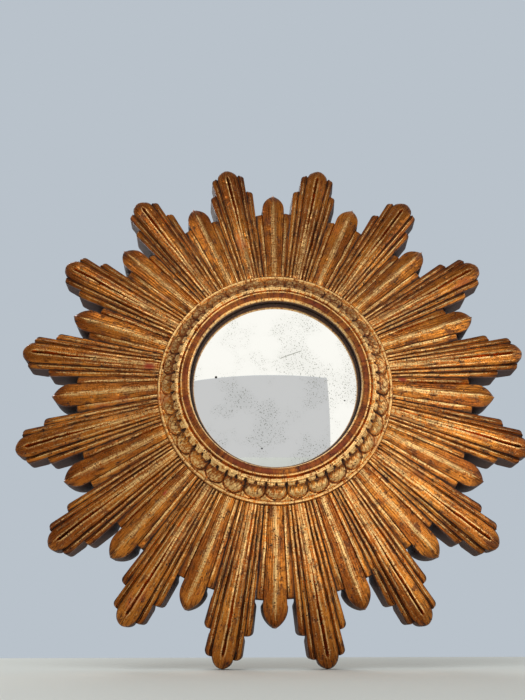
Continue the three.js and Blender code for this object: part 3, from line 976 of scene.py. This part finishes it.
@dataclass
class LongRay(Ray):
    """A split lobe with two stepped ribs on each side."""

    lobe_half: float = 2.55
    first_half: float = 4.0
    first_r: float = 265.0
    second_r: float = 241.0
    split_root_r: float = 166.0
    split_wide_r: float = 225.0
    split_end_r: float = 265.0
    split_half: float = 0.4
    split_depth: float = 3.4
    corner_r: float = 5.0

    def lobe(self) -> Surface:
        """The middle lobe: a V groove between two crests that meet and run on as one ridge.

        Outside the meeting point the shoulders roll over; inside it a gouged flute runs on
        each side of the ridge. The end is round in plan: width = sqrt(1 - u^2).

        Returns:
            The lobe as a surface.
        """
        start = self.tip_r - 17.0
        r = self.stations(self.tip_r, 17.0)
        width = np.sqrt(1 - (np.maximum(0, r - start) / 17.25) ** 2)
        open_ = smoothstep(self.split_root_r, self.split_wide_r, r) ** 0.8
        ends = 1 - smoothstep(self.split_end_r - 4.5, self.split_end_r, r)
        fluted = 1 - smoothstep(self.split_root_r - 8, self.split_root_r + 14, r)
        centre = 0.12 * drift(r, self.seed(1))
        chip = 1.3 * np.exp(-(((r - self.split_root_r + 3) / 1.8) ** 2))
        crest = self.split_half * (0.25 + 0.75 * open_ * (0.4 + 0.6 * ends))
        shoulder = 1.6 * fluted + 1.0 * (1 - fluted)
        halves = []
        for hand in Hand:
            n = 10 if hand is Hand.LEFT else 20
            middle = hand.value * centre
            flute = self.depth(r, 3.2, n, 0.5) * fluted + 0.4 * (1 - fluted)
            foot_drop = self.depth(r, 3.3, n + 3) + 0.9 * fluted
            halves.append(
                Knots(
                    angles=[
                        middle,
                        middle + crest + 0.05 * drift(r, self.seed(n)),
                        self.cut(r, 1.15, n + 1),
                        self.cut(r, 1.8, n + 2),
                        self.cut(r, self.lobe_half, n + 3, 0.05),
                    ],
                    drops=[
                        0.15 + self.split_depth * open_ * ends + chip, 0.6 * chip, flute, shoulder, foot_drop,
                    ],
                    tones=[0.26, 1.0, 0.42, 0.72, 0.1],
                    bows=[1.0, 0.9, 1.1, 1.5],
                    counts=[4, 5, 4, 6],
                )
            )
        line = meeting(halves).narrowed(width)
        sag = 3.6 * (np.maximum(0, r - start) / 17.0) ** 3
        foot = self.lobe_half * width
        return self.shell(r, line, (-foot, foot), (self.first_r, self.first_r), self.tip_r, sag)

    def step_rib(self, hand: Hand, first: bool) -> Surface:
        """One stepped rib: hollow at the inner rib's foot, a crest, and a hollow outside.

        Args:
            hand: its side of the ray.
            first: whether it is the one beside the lobe, which is the longer one.

        Returns:
            The rib as a surface.
        """
        inner, outer = (self.lobe_half, self.first_half) if first else (self.first_half, self.long_half)
        end = self.first_r if first else self.second_r
        n = (30 if first else 40) + hand.value * 3
        end = end + float(np.random.default_rng(self.seed(n)).uniform(-1.2, 0.6))
        r = self.stations(end, 7.0)
        limit = outer if first else outer - np.degrees(self.glue / r)
        edge = self.rounded(r, inner, limit, end)
        crest_at = inner + 0.42 * (edge - inner) + 0.08 * drift(r, self.seed(n))
        crest = self.depth(r, 1.8 if first else 3.2, n + 1)
        low = 4.6 if first else 5.8
        knots = Knots(
            angles=[0 * r + inner - 0.4, 0 * r + inner - 0.05, crest_at, 0 * r + edge],
            drops=[
                0 * r + low + 2.5, self.depth(r, low, n + 2), crest, self.depth(r, low - 0.2, n + 3, 0.15),
            ],
            tones=[0.0, 0.0, 1.0, 0.15],
            bows=[1.0, 1.5, 0.75],
            counts=[1, 5, 7],
        )
        line, feet = knots.line(), (0 * r + inner, 0 * r + edge)
        free = (NEVER, self.second_r if first else self.flank_r)
        if hand is Hand.LEFT:
            line, feet, free = line.flipped(), (-feet[1], -feet[0]), free[::-1]
        return self.shell(r, line, feet, free, end, 0 * r)

    def rounded(self, r: Array, inner: float, limit: Array, end: float) -> Array:
        """Outer angle of a stepped rib whose outer corner is a quarter circle in plan.

        Args:
            r: radii of the sections.
            inner: angle of the rib's inner side.
            limit: angle of its outer side before the corner.
            end: radius of its end.

        Returns:
            The angle at each radius.
        """
        past = np.clip(r - end + self.corner_r, 0, self.corner_r)
        taken = self.corner_r - np.sqrt(np.maximum(self.corner_r**2 - past**2, 0))
        return np.maximum(limit - np.degrees(taken / r), inner + 0.3 * (limit - inner))

    def surface(self) -> Surface:
        """All five ribs of the ray."""
        steps = [self.step_rib(hand, first) for first in (True, False) for hand in Hand]
        return joined([self.lobe()] + steps)


@dataclass
class ShortRay(Ray):
    """A keeled bar with a pointed end and a flank rib on each side."""

    point_r: float = 232.0
    point_length: float = 22.0
    keel_half: float = 3.2
    short_half: float = 5.45

    def keel(self) -> Surface:
        """The keeled bar: a sharp ridge with hollow facets, drawn to a leaf-shaped point.

        Width over the point's length is (1 - u^2.3)^0.85, with u from 0 to 1.

        Returns:
            The bar as a surface.
        """
        start = self.point_r - self.point_length
        r = self.stations(self.point_r, self.point_length)
        u = np.clip((r - start) / self.point_length, 0, 1)
        width = np.maximum(0.05, (1 - u**2.3) ** 0.85)
        centre = 0.12 * drift(r, self.seed(1))
        halves = []
        for hand in Hand:
            n = 10 if hand is Hand.LEFT else 20
            middle = hand.value * centre
            halves.append(
                Knots(
                    angles=[middle, middle + 0.16, self.cut(r, 1.6, n + 1, 0.15), 0 * r + self.keel_half],
                    drops=[0 * r, 0 * r + 0.25, self.depth(r, 3.1, n + 2), self.depth(r, 4.5, n + 3)],
                    tones=[1.0, 0.8, 0.42, 0.3],
                    bows=[1.6, 0.85, 1.0],
                    counts=[2, 7, 6],
                )
            )
        line = meeting(halves).narrowed(width)
        foot = self.keel_half * width
        return self.shell(r, line, (-foot, foot), (self.flank_r, self.flank_r), self.point_r, 2.5 * u**3)

    def flank(self, hand: Hand) -> Surface:
        """A flank rib: a crest close to the keeled bar and a facet that slopes away.

        Args:
            hand: its side of the ray.

        Returns:
            The rib as a surface.
        """
        n = 30 + hand.value * 3
        end = self.flank_r + float(np.random.default_rng(self.seed(n)).uniform(-2.5, 1.0))
        r = self.stations(end, 3.0)
        edge = self.short_half - np.degrees(self.glue / r)
        inner = self.keel_half
        knots = Knots(
            angles=[0 * r + inner - 0.4, 0 * r + inner - 0.04, self.cut(r, 3.6, n, 0.08), 0 * r + edge],
            drops=[0 * r + 8.0, self.depth(r, 6.0, n + 1, 0.2), self.depth(r, 2.8, n + 2), 0 * r + 5.8],
            tones=[0.0, 0.0, 1.0, 0.1],
            bows=[1.0, 1.2, 0.9],
            counts=[1, 4, 8],
        )
        line, feet = knots.line(), (0 * r + inner, 0 * r + edge)
        if hand is Hand.LEFT:
            line, feet = line.flipped(), (-feet[1], -feet[0])
        return self.shell(r, line, feet, (NEVER, NEVER), end, 0 * r)

    def surface(self) -> Surface:
        """The keeled bar and both flanks."""
        return joined([self.keel()] + [self.flank(hand) for hand in Hand])


@dataclass
class Sunburst:
    """The thirty-two glued rays, short and long in turn, numbered clockwise from the top one.

    Three of them are rubbed through to the bole, and the top one holds the hanger's pocket.
    """

    pairs: int = 16
    pocket: Pocket = Pocket(130.0, 199.0, 9.5, 8.0)
    bare: dict[int, Patch] = field(
        default_factory=lambda: {
            8: Patch(130.0, -9.5, 4.5, 2.6),
            20: Patch(150.0, 3.0, 3.0, 1.5),
            25: Patch(129.5, -2.5, 6.0, 3.2),
        }
    )

    def dress(self, gold: bpy.types.Material, wood: bpy.types.Material) -> None:
        """Builds every ray in place of its CAD node.

        Args:
            gold: finish of the face and the sides.
            wood: finish of the back.
        """
        for index in range(2 * self.pairs):
            pair, long = divmod(index, 2)
            kind, shape = ("long_ray", LongRay) if long else ("short_ray", ShortRay)
            ray = shape(
                index, index * 180.0 / self.pairs,
                pocket=Pocket() if index else self.pocket, bare=self.bare.get(index, Patch()),
            )
            node = f"{kind}_{pair + 1:02d}"
            piece = ray.surface().object(f"{node}_carved", [gold, wood], 50.0)
            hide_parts(node)
            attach(piece, "mirror")
            LOG.info("%s: %d faces", piece.name, len(piece.data.polygons))


# ------------------------------------------------------------------ ring


@dataclass
class CarvedRing:
    """The turned ring with its rim, rounded tongues, teeth, bead and lip."""

    tongues: int = 32
    columns_per_tongue: int = 28
    outer_r: float = 118.0
    seat_h: float = 70.0
    crest_h: float = 99.0
    slope_low: tuple[float, float] = (113.9, 76.6)
    slope_high: tuple[float, float] = (97.4, 96.2)
    slope_rows: int = 46
    sight_r: float = 84.4
    glass_h: float = 87.0
    rebate_r: float = 91.6

    def arc(self, r: float, h: float, bend: float, end: float, count: int) -> list[tuple[float, float]]:
        """Points of a moulding's round: centre plus bend times cosine and sine of the angle."""
        angles = np.radians(np.linspace(0, end, count))
        return list(zip(r + bend * np.cos(angles), h + bend * np.sin(angles)))

    def profile(self) -> tuple[Array, Array, Array, Array, Array]:
        """The ring's section, before the carving.

        Rows run from the seat up the outer wall, over the rim, up the slope, over the teeth,
        the bead and the lip, down to the glass and back along the rebate.

        Returns:
            Radius, height, distance up the slope, lift share and hand-worn share of every row.
        """
        outside = [(self.outer_r, self.seat_h + rise) for rise in (0.0, 2.0, 4.2)]
        rim = self.arc(115.9, 75.3, 2.1, 150, 9)
        share = np.linspace(0, 1, self.slope_rows)
        low, high = np.array(self.slope_low), np.array(self.slope_high)
        slope = [tuple(low * (1 - t) + high * t) for t in share]
        teeth = [(96.6, 96.9), (95.7, 97.0), (95.0, 96.5), (94.4, 95.6)]
        bead = self.arc(92.3, 96.5, 1.75, 145, 9)
        lip = [(90.2, 97.5), (89.6, 97.9), (88.9, 98.4), (88.2, 98.8), (87.3, self.crest_h)]
        lip += [(86.4, 98.7), (85.6, 97.9), (85.0, 96.6), (84.6, 95.0), (self.sight_r, 93.0)]
        wall = [(self.sight_r, h) for h in (91.5, 90.0, 88.8, 87.9, self.glass_h)]
        back = [(self.rebate_r, self.glass_h), (self.rebate_r, self.seat_h), (104.0, self.seat_h)]
        rows = outside + rim + slope + teeth + bead + lip + wall + back
        first, last = len(outside) + len(rim), len(rows) - len(wall) - len(back)
        ends = first + len(slope)
        up, lift, worn = np.full(len(rows), -1.0), np.zeros(len(rows)), np.zeros(len(rows))
        length = math.dist(self.slope_low, self.slope_high)
        up[first:ends], up[ends : ends + 3] = share * length, length
        lift[first:ends], lift[ends : ends + 3] = 1.0, (0.8, 0.5, 0.2)
        worn[first:last] = 1.0
        r, h = np.array(rows).T
        return r, h, up, lift, worn

    def carving(self, r: Array, up: Array, turn: Array) -> tuple[Array, Array]:
        """The carved slope: tongues, their outlines and the notched band inside them.

        A tongue is a stadium with a round outer end; its lift is 1 - (1 - d)^2 of the
        distance d inside its outline, and a gouged line runs round it. The band is a step
        whose corners are rounded; pointed notches, one for each tongue and one between each
        two, are cut into it from outside with half width 1.6 sqrt(distance from the point).
        Sines of the tongue's number make each tongue lean, swell and end a little unlike
        the next.

        Args:
            r: radius of each row.
            up: distance of each row up the slope in mm.
            turn: angle of each column in radians.

        Returns:
            Lift in mm and tone, rows by columns.
        """
        pitch = 2 * np.pi / self.tongues
        number = np.round(turn / pitch)
        off = turn - number * pitch
        # the tongue's outline, and how far inside it a point lies
        lean = 0.1 * np.sin(number * 2.4) + 0.08 * np.sin(number * 5.1 + 1.0)
        x = r * off + 0 * up + lean * np.clip(14 - up, 0, 14) / 3
        half = r * pitch / 2
        round_ = half - 0.7 + 0.3 * np.sin(number * 3.3)
        start = 0.9 + 0.4 * np.sin(number * 1.7)
        inside = round_ - np.hypot(x, np.maximum(0, round_ + start - up))
        # its pillow, lumps, outline and a curled gouge mark on every other tongue or so
        pillow = 1 - (1 - np.clip(inside / 4.4, 0, 1)) ** 2
        belly = 1 - 0.75 * smoothstep(8.0, 17.0, up)
        lumps = np.sin(x * 1.2 + number * 2.1) * np.sin(up * 0.62 + number * 1.3)
        lumps = lumps + 0.6 * np.sin(x * 2.3 + up * 1.1 + number * 4.0)
        line = np.exp(-(((inside + 0.5) / 0.55) ** 2)) * smoothstep(21.0, 19.0, up)
        corner = smoothstep(-1.0, -2.2, inside) * smoothstep(16.0, 12.0, up)
        curl = np.hypot(x - 0.9 * np.sin(number * 7.7), up - 9.5) - 4.0
        dent = np.exp(-((curl / 0.5) ** 2)) * (np.sin(number * 12.9) > -0.1) * smoothstep(0.4, 1.4, inside)
        # the notched band
        gap = half / 2 - np.abs(np.abs(x) - half / 2)
        gap = gap + 0.25 * np.sin(number * 9.1 + x)
        spread = 1.6 * np.sqrt(np.clip((24.4 + 0.5 * np.sin(number * 4.3) - up) / 5.0, 0, 1))
        notch = smoothstep(spread + 0.3, spread - 0.45, gap) * smoothstep(17.6, 19.2, up) * (spread > 0)
        round_in = np.clip(1 - 2 * gap / half, -1, 1)
        band = 1 - (1 - np.clip((up - 18.6 - 1.2 * (1 - np.sqrt(1 - round_in**2))) / 1.3, 0, 1)) ** 2
        lift = 1.7 * pillow * belly + 0.14 * lumps - 1.0 * line + 0.45 * corner
        lift += 1.0 * band * (1 - notch) - 1.2 * notch * smoothstep(25.0, 23.5, up) - 0.35 * dent
        # tone: painted highlight on the pillows, corners and band; painted shade at the tongues' roots,
        # outlines, notches and gouge marks
        tone = 0.46 + 0.24 * pillow * belly + 0.14 * lumps + 0.32 * corner + 0.36 * band
        tone -= 0.26 * np.exp(-(((up - 17.2) / 2.2) ** 2)) + 0.3 * dent
        tone *= (1 - 0.9 * np.clip(line, 0, 1)) * (1 - 0.9 * notch)
        return lift, np.clip(tone, 0, 1)

    def turned_tone(self, r: Array, h: Array) -> Array:
        """Tone of the turned mouldings: painted highlight on narrow crests and painted shade between them.

        Args:
            r: radius of each row.
            h: height of each row.

        Returns:
            The sum of a bell curve for each crest: rim, band, bead, lip and the lip's edge.
        """
        crests = (
            (115.7, 1.9, 0.66), (96.0, 1.5, 0.72), (92.5, 0.6, 0.8), (88.9, 2.2, 0.12), (85.1, 0.7, 1.0),
        )
        tone = 0.16 + sum(top * np.exp(-(((r - c) / w) ** 2)) for c, w, top in crests)
        return np.clip(tone, 0, 1) * ((h > 92.5) | ((h < 79) & (r > 110)))

    def surface(self) -> Surface:
        """The whole ring as one closed grid, rows round the section by columns round the axis.

        Each carved point moves along the slope's outward normal by its lift. All worn rows
        also wander by a sum of slow sines round the ring.

        Returns:
            The ring as a surface.
        """
        r0, h0, up, lift, worn = (v[:, None] for v in self.profile())
        columns = self.tongues * self.columns_per_tongue
        turn = np.linspace(0, 2 * np.pi, columns, endpoint=False)[None, :]
        raised, carved = self.carving(r0, up, turn)
        run_r, run_h = np.array(self.slope_high) - np.array(self.slope_low)
        out_r, out_h = run_h / np.hypot(run_r, run_h), -run_r / np.hypot(run_r, run_h)
        wander = 0.18 * np.sin(3 * turn + 1.0) + 0.12 * np.sin(7 * turn + 0.4) + 0.1 * np.sin(17 * turn)
        nicks = 0.12 * np.sin(41 * turn + 0.3 * r0) * np.sin(23 * turn + 1.0)
        r = r0 + out_r * raised * lift + 0.5 * (wander + nicks) * worn * (r0 > 85.2)
        h = h0 + out_h * raised * lift + (0.5 * wander + nicks - 0.3) * worn * (h0 > 94)
        h = np.minimum(h, self.crest_h)
        points = np.stack([r * np.sin(turn), -h, r * np.cos(turn)], -1).reshape(-1, 3) * MM
        quads, _ = facing_out(points, len(r0), columns, True)
        # carving toned with painted highlight and shade, dull walls in painted shade at the glass
        # and at the seat, and a red-brown lip
        tone = np.where(lift > 0, carved, self.turned_tone(r0, h0) + 0 * turn)
        wall = np.where((r0 < 84.8) & (h0 < 95.5), smoothstep(95.5, 92.0, h0), 0.0) + 0 * turn
        wall = np.where((h0 < self.seat_h + 4) & (r0 > 100), 1.0, wall)
        cove = np.exp(-(((r0 - 88.9) / 2.5) ** 4)) * (h0 > 95)
        bare = 0.75 * cove * (0.62 + 0.38 * np.sin(5 * turn + 2.0) * np.sin(11 * turn))
        run = np.concatenate([[0.0], np.cumsum(np.hypot(np.diff(r0[:, 0]), np.diff(h0[:, 0])))])[:, None]
        wrap = np.stack([turn * 105.0 + 0 * run, run + 0 * turn], -1).reshape(-1, 2) * MM
        channels = {"tone": tone.reshape(-1), "wall": wall.reshape(-1), "bare": bare.reshape(-1)}
        return Surface(points, quads, np.zeros(len(quads), int), channels, wrap, wrap)

    def dress(self, gold: bpy.types.Material) -> None:
        """Builds the ring in place of its CAD node.

        Args:
            gold: its finish.
        """
        piece = self.surface().object("carved_ring_gilded", [gold], 60.0)
        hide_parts("carved_ring")
        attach(piece, "mirror")
        LOG.info("%s: %d faces", piece.name, len(piece.data.polygons))


# ------------------------------------------------------------------ glass


@dataclass
class ConvexGlass:
    """The bulging mirror plate."""

    radius: float = 91.0
    bulge: float = 10.0
    thickness: float = 3.0
    seat_h: float = 86.7
    sight_r: float = 84.4
    rings: int = 40
    steps: int = 160

    def fall(self, r: Array) -> Array:
        """How far the sphere lies below its apex at a radius: R - sqrt(R^2 - r^2)."""
        sphere = (self.radius**2 + self.bulge**2) / (2 * self.bulge)
        return sphere - np.sqrt(sphere**2 - r**2)

    def surface(self) -> Surface:
        """A spherical cap and the same cap set back by the glass, joined round the rim.

        Returns:
            The closed plate.
        """
        apex = self.seat_h + self.fall(np.array(self.sight_r))
        r = np.linspace(0.02, self.radius, self.rings)
        front = np.stack([r, apex - self.fall(r)], 1)
        rim = np.array([[self.radius, front[-1, 1] - self.thickness * t] for t in (0.3, 0.7)])
        back = front[::-1] - np.array([0, self.thickness])
        r, h = np.concatenate([front, rim, back]).T
        turn = np.linspace(0, 2 * np.pi, self.steps, endpoint=False)[None, :]
        points = np.stack([r[:, None] * np.sin(turn), -h[:, None] + 0 * turn, r[:, None] * np.cos(turn)], -1)
        points = points.reshape(-1, 3) * MM
        quads, caps = facing_out(points, len(r), self.steps, False)
        row = np.arange(len(quads)) // self.steps
        skins = np.where(row >= self.rings, Skin.BACK.value, Skin.FACE.value)
        flat = points[:, [0, 2]]
        return Surface(points, quads, skins, {}, flat, flat, caps)

    def dress(self, silver: bpy.types.Material, paint: bpy.types.Material) -> None:
        """Builds the plate in place of its CAD node.

        Args:
            silver: finish of the front and the rim's front edge.
            paint: finish of the rim and the hollow side.
        """
        piece = self.surface().object("mirror_glass_silvered", [silver, paint], 40.0)
        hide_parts("mirror_glass")
        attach(piece, "mirror")
        LOG.info("%s: %d faces", piece.name, len(piece.data.polygons))


# ------------------------------------------------------------------ back


@dataclass
class BackFittings:
    """The board, its screws, the glue blocks and the hanger's plate, kept as the CAD has them."""

    finishes: dict[str, bpy.types.Material]

    def dress(self, nodes: dict[str, bpy.types.Object]) -> None:
        """Gives each node the finish named by the start of its name.

        Args:
            nodes: the frame's objects by name.
        """
        for name, node in nodes.items():
            for start, material in self.finishes.items():
                if name.startswith(start):
                    node.data.materials.clear()
                    node.data.materials.append(material)
                    LOG.info("%s: %s", name, material.name)


@dataclass
class HangingLoop:
    """The wire loop that swings in the plate's eye."""

    half: float = 7.2
    corner: float = 2.0
    straight: float = 8.0
    wire: float = 1.2
    eye_h: float = 4.6
    eye_z: float = 174.0
    sides: int = 20

    def surface(self) -> Surface:
        """A round section carried along the loop's centre line.

        The line is a straight top, two quarter circles, two straight sides and a half circle.
        Each arc is given by its middle, radius, first and last angle and number of steps.

        Returns:
            The loop as a surface.
        """
        arcs = (
            (self.half - self.corner, -self.corner, self.corner, 90, 0, 8),
            (0.0, -self.straight, self.half, 0, -180, 40),
            (self.corner - self.half, -self.corner, self.corner, 180, 90, 8),
        )
        line = np.concatenate([
            np.stack([x + rad * np.cos(a), z + rad * np.sin(a)], 1)
            for x, z, rad, start, end, n in arcs
            for a in [np.radians(np.linspace(start, end, n + 1))]
        ])
        step = np.roll(line, -1, 0) - np.roll(line, 1, 0)
        step /= np.linalg.norm(step, axis=1)[:, None]
        out = np.stack([-step[:, 1], step[:, 0]], 1)
        around = np.linspace(0, 2 * np.pi, self.sides, endpoint=False)
        plane = line[:, None, :] + out[:, None, :] * self.wire * np.cos(around)[None, :, None]
        y = -self.eye_h + self.wire * np.sin(around)[None, :] + 0 * plane[..., 0]
        points = np.stack([plane[..., 0], y, plane[..., 1] + self.eye_z], -1).reshape(-1, 3) * MM
        quads, _ = facing_out(points, len(line), self.sides, True)
        flat = points[:, [0, 2]]
        return Surface(points, quads, np.zeros(len(quads), int), {}, flat, flat)

    def dress(self, brass: bpy.types.Material) -> None:
        """Builds the loop in place of its CAD node.

        Args:
            brass: its finish.
        """
        piece = self.surface().object("hanger_ring_wire", [brass], 60.0)
        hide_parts("hanger_ring")
        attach(piece, "hanging_loop")
        LOG.info("%s: %d faces", piece.name, len(piece.data.polygons))


# ------------------------------------------------------------------ studio


@dataclass(frozen=True)
class Lamp:
    """A square soft lamp: name, middle and side in metres, and power in watts."""

    name: str
    place: tuple[float, float, float]
    size: float
    power: float

    def build(self, aim: Vector) -> None:
        """Hangs the lamp.

        Args:
            aim: the point that it looks at.
        """
        data = bpy.data.lights.new(self.name, "AREA")
        data.size, data.energy = self.size, self.power
        lamp = bpy.data.objects.new(self.name, data)
        lamp.location = self.place
        lamp.rotation_euler = (aim - Vector(self.place)).to_track_quat("-Z", "Y").to_euler()
        bpy.context.scene.collection.objects.link(lamp)


@dataclass
class Studio:
    """Pale shelf, soft lamps, the reflectors that the glass sees, and the camera; all in metres."""

    backdrop: str = "#B9C2CB"
    sky: str = "#F4F6FA"
    shelf: str = "#DBDED8"
    white: str = "#FFFEFA"
    grey: str = "#CBCCCE"
    ceiling: str = "#8A8179"
    dim: str = "#BFB8AE"
    side: str = "#8A8178"
    shelf_half: float = 1.5
    shelf_front: float = -1.15
    shelf_back: float = 0.27
    shelf_gap: float = 0.0004
    fill: float = 0.5
    focal_px: float = 900.0
    place: tuple[float, float, float] = (-0.0263, -0.9492, -0.2218)
    turn: tuple[float, float, float] = (106.568, 0.112, -0.863)
    aim: tuple[float, float, float] = (0.0, -0.05, 0.0)
    lamps: tuple[Lamp, ...] = (
        Lamp("key_right", (1.5, -1.25, 0.14), 0.6, 3.0),
        Lamp("soft_above", (-0.7, -1.5, 1.6), 2.0, 22.0),
        Lamp("behind", (-0.6, 1.7, 0.9), 1.2, 14.0),
    )

    def camera(self) -> None:
        """The photograph's viewpoint: below the centre, looking up at the face."""
        data = bpy.data.cameras.new("photo_camera")
        data.sensor_width = 36.0
        data.lens = self.focal_px / max(PHOTO_WIDTH, PHOTO_HEIGHT) * data.sensor_width
        camera = bpy.data.objects.new("photo_camera", data)
        camera.location = self.place
        camera.rotation_euler = [math.radians(a) for a in self.turn]
        bpy.context.scene.collection.objects.link(camera)
        bpy.context.scene.camera = camera

    def panel(self, name: str, corners: Corners, material: bpy.types.Material) -> bpy.types.Object:
        """A flat four-cornered stage piece.

        Args:
            name: its name.
            corners: four corners, in order.
            material: its material.

        Returns:
            The piece, marked as stage.
        """
        mesh = bpy.data.meshes.new(name)
        mesh.from_pydata(corners, [], [(0, 1, 2, 3)])
        mesh.materials.append(material)
        piece = bpy.data.objects.new(name, mesh)
        bpy.context.scene.collection.objects.link(piece)
        piece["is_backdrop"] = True
        return piece

    def floor(self, lowest: float) -> None:
        """A pale painted shelf, matt and faintly mottled, just under the two lowest rays.

        Args:
            lowest: height of the lowest point of the mirror.
        """
        material, tree = blank("painted_shelf")
        place = add(tree, PLACE).outputs["Object"]
        mottle = add(tree, NOISE, {"Vector": place, "Scale": per(60.0), "Detail": 3.0})
        rough = add(tree, RANGE, {"Value": mottle, "To Min": 0.35, "To Max": 0.55})
        paint = {"Base Color": linear(self.shelf), "Roughness": rough, "Specular IOR Level": 0.0}
        add(tree, OUTPUT, {"Surface": add(tree, SHADER, paint)})
        z, half = lowest - self.shelf_gap, self.shelf_half
        self.panel("shelf", self.level(-half, half, self.shelf_front, self.shelf_back, z), material)

    def upright(self, left: float, right: float, y: float, low: float, high: float) -> Corners:
        """Corners of a card that faces the mirror."""
        return [(left, y, low), (right, y, low), (right, y, high), (left, y, high)]

    def level(self, left: float, right: float, front: float, back: float, z: float) -> Corners:
        """Corners of a level card."""
        return [(left, front, z), (right, front, z), (right, back, z), (left, back, z)]

    def beside(self, x: float, front: float, back: float, low: float, high: float) -> Corners:
        """Corners of a card at one side of the mirror."""
        return [(x, front, low), (x, back, low), (x, back, high), (x, front, high)]

    def reflectors(self) -> None:
        """Glowing cards that only glossy surfaces see, as a room that the gold and the glass reflect.

        The glass shows a white wall above and to the right of a grey one. The cards above,
        beside and low under the mirror only shape the sheen of the gold.
        """
        far, grey_wall, edge, top, low, floor = -1.7, -1.71, 0.49, 1.8, -0.262, -1.0
        cards = {
            "room_above": (self.white, 1.0, self.upright(-3, 3, far, edge, top)),
            "room_right": (
                self.white, 1.0,
                [(0.66, far, floor), (1.4, far, floor), (1.4, far, edge), (0.605, far, edge)],
            ),
            "far_right": (
                self.side, 1.0, [(1.4, far, floor), (3, -1.2, floor), (3, -1.2, edge), (1.4, far, edge)],
            ),
            "room_far": (self.grey, 1.0, self.upright(-3, 3, grey_wall, floor, edge)),
            "ceiling": (self.ceiling, 1.0, self.level(-3, 3, far, 0.6, top)),
            "low_right": (self.white, 1.45, self.level(-0.1, 0.7, -0.75, -0.15, low)),
            "low_left": (self.dim, 1.0, self.level(-1.3, -0.12, -0.75, -0.15, low)),
            "window_right": (self.white, 1.2, self.beside(1.5, -0.75, 0.5, 0.05, 0.75)),
            "room_left": (self.side, 1.0, self.beside(-1.5, -1.9, 0.3, -0.4, top)),
        }
        for name, (colour, strength, corners) in cards.items():
            material, tree = blank(name)
            glow = add(tree, "ShaderNodeEmission", {"Color": linear(colour), "Strength": strength})
            add(tree, OUTPUT, {"Surface": glow})
            piece = self.panel(name, corners, material)
            piece.visible_camera = piece.visible_diffuse = piece.visible_shadow = False
            piece.visible_transmission = False

    def world(self) -> None:
        """A pale room: its colour for the eye and for reflections, soft fill for the rest."""
        world = bpy.data.worlds.new("pale_room")
        world.use_nodes = True
        tree = world.node_tree
        tree.nodes.clear()
        path = add(tree, "ShaderNodeLightPath").outputs
        seen = add(tree, MATH, {0: path["Is Camera Ray"], 1: path["Is Glossy Ray"]}, operation="MAXIMUM")
        seen = add(tree, MATH, {0: seen, 1: path["Is Transmission Ray"]}, operation="MAXIMUM")
        fill = add(tree, "ShaderNodeBackground", {"Color": linear(self.sky), "Strength": self.fill})
        shown = add(tree, "ShaderNodeBackground", {"Color": linear(self.backdrop), "Strength": 1.0})
        both = add(tree, "ShaderNodeMixShader", {0: seen, 1: fill, 2: shown})
        add(tree, "ShaderNodeOutputWorld", {"Surface": both})
        bpy.context.scene.world = world

    def build(self, lowest: float) -> None:
        """Sets the whole stage.

        Args:
            lowest: height of the lowest point of the mirror.
        """
        self.camera()
        self.world()
        self.floor(lowest)
        self.reflectors()
        for lamp in self.lamps:
            lamp.build(Vector(self.aim))
        bpy.context.scene.view_settings.view_transform = "Standard"


def main() -> None:
    """Loads the frame, builds each sub-assembly in order and sets the stage under its lowest point."""
    logging.basicConfig(level=logging.INFO, format="%(message)s")
    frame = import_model()
    gold = Gilding().material()
    wood = RawWood("aged_limewood", "#A57D4E", "#6E4A2A", 1.4, Grain.ALONG_STAVE).material()
    Sunburst().dress(gold, wood)
    CarvedRing().dress(gold)
    ConvexGlass().dress(Silvering().material(), BackingPaint().material())
    steel = OldMetal("dull_steel", "#8C877E", "#4A3B30", 2.5).material()
    brass = OldMetal("tarnished_brass", "#B58F4C", "#80622F", 6.0).material()
    pine = RawWood("stained_pine", "#94683B", "#5F3F22", 2.2, Grain.UPRIGHT).material()
    block = RawWood("glue_block_pine", "#A78255", "#7A5833", 1.8, Grain.UPRIGHT).material()
    finishes = {
        "back_board": pine, "glass_block": block, "back_screw": steel,
        "hanger_screw": steel, "hanger_plate": brass,
    }
    BackFittings(finishes).dress(frame["nodes"])
    HangingLoop().dress(brass)
    Studio().build(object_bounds()[0].z)


if __name__ == "__main__":
    main()
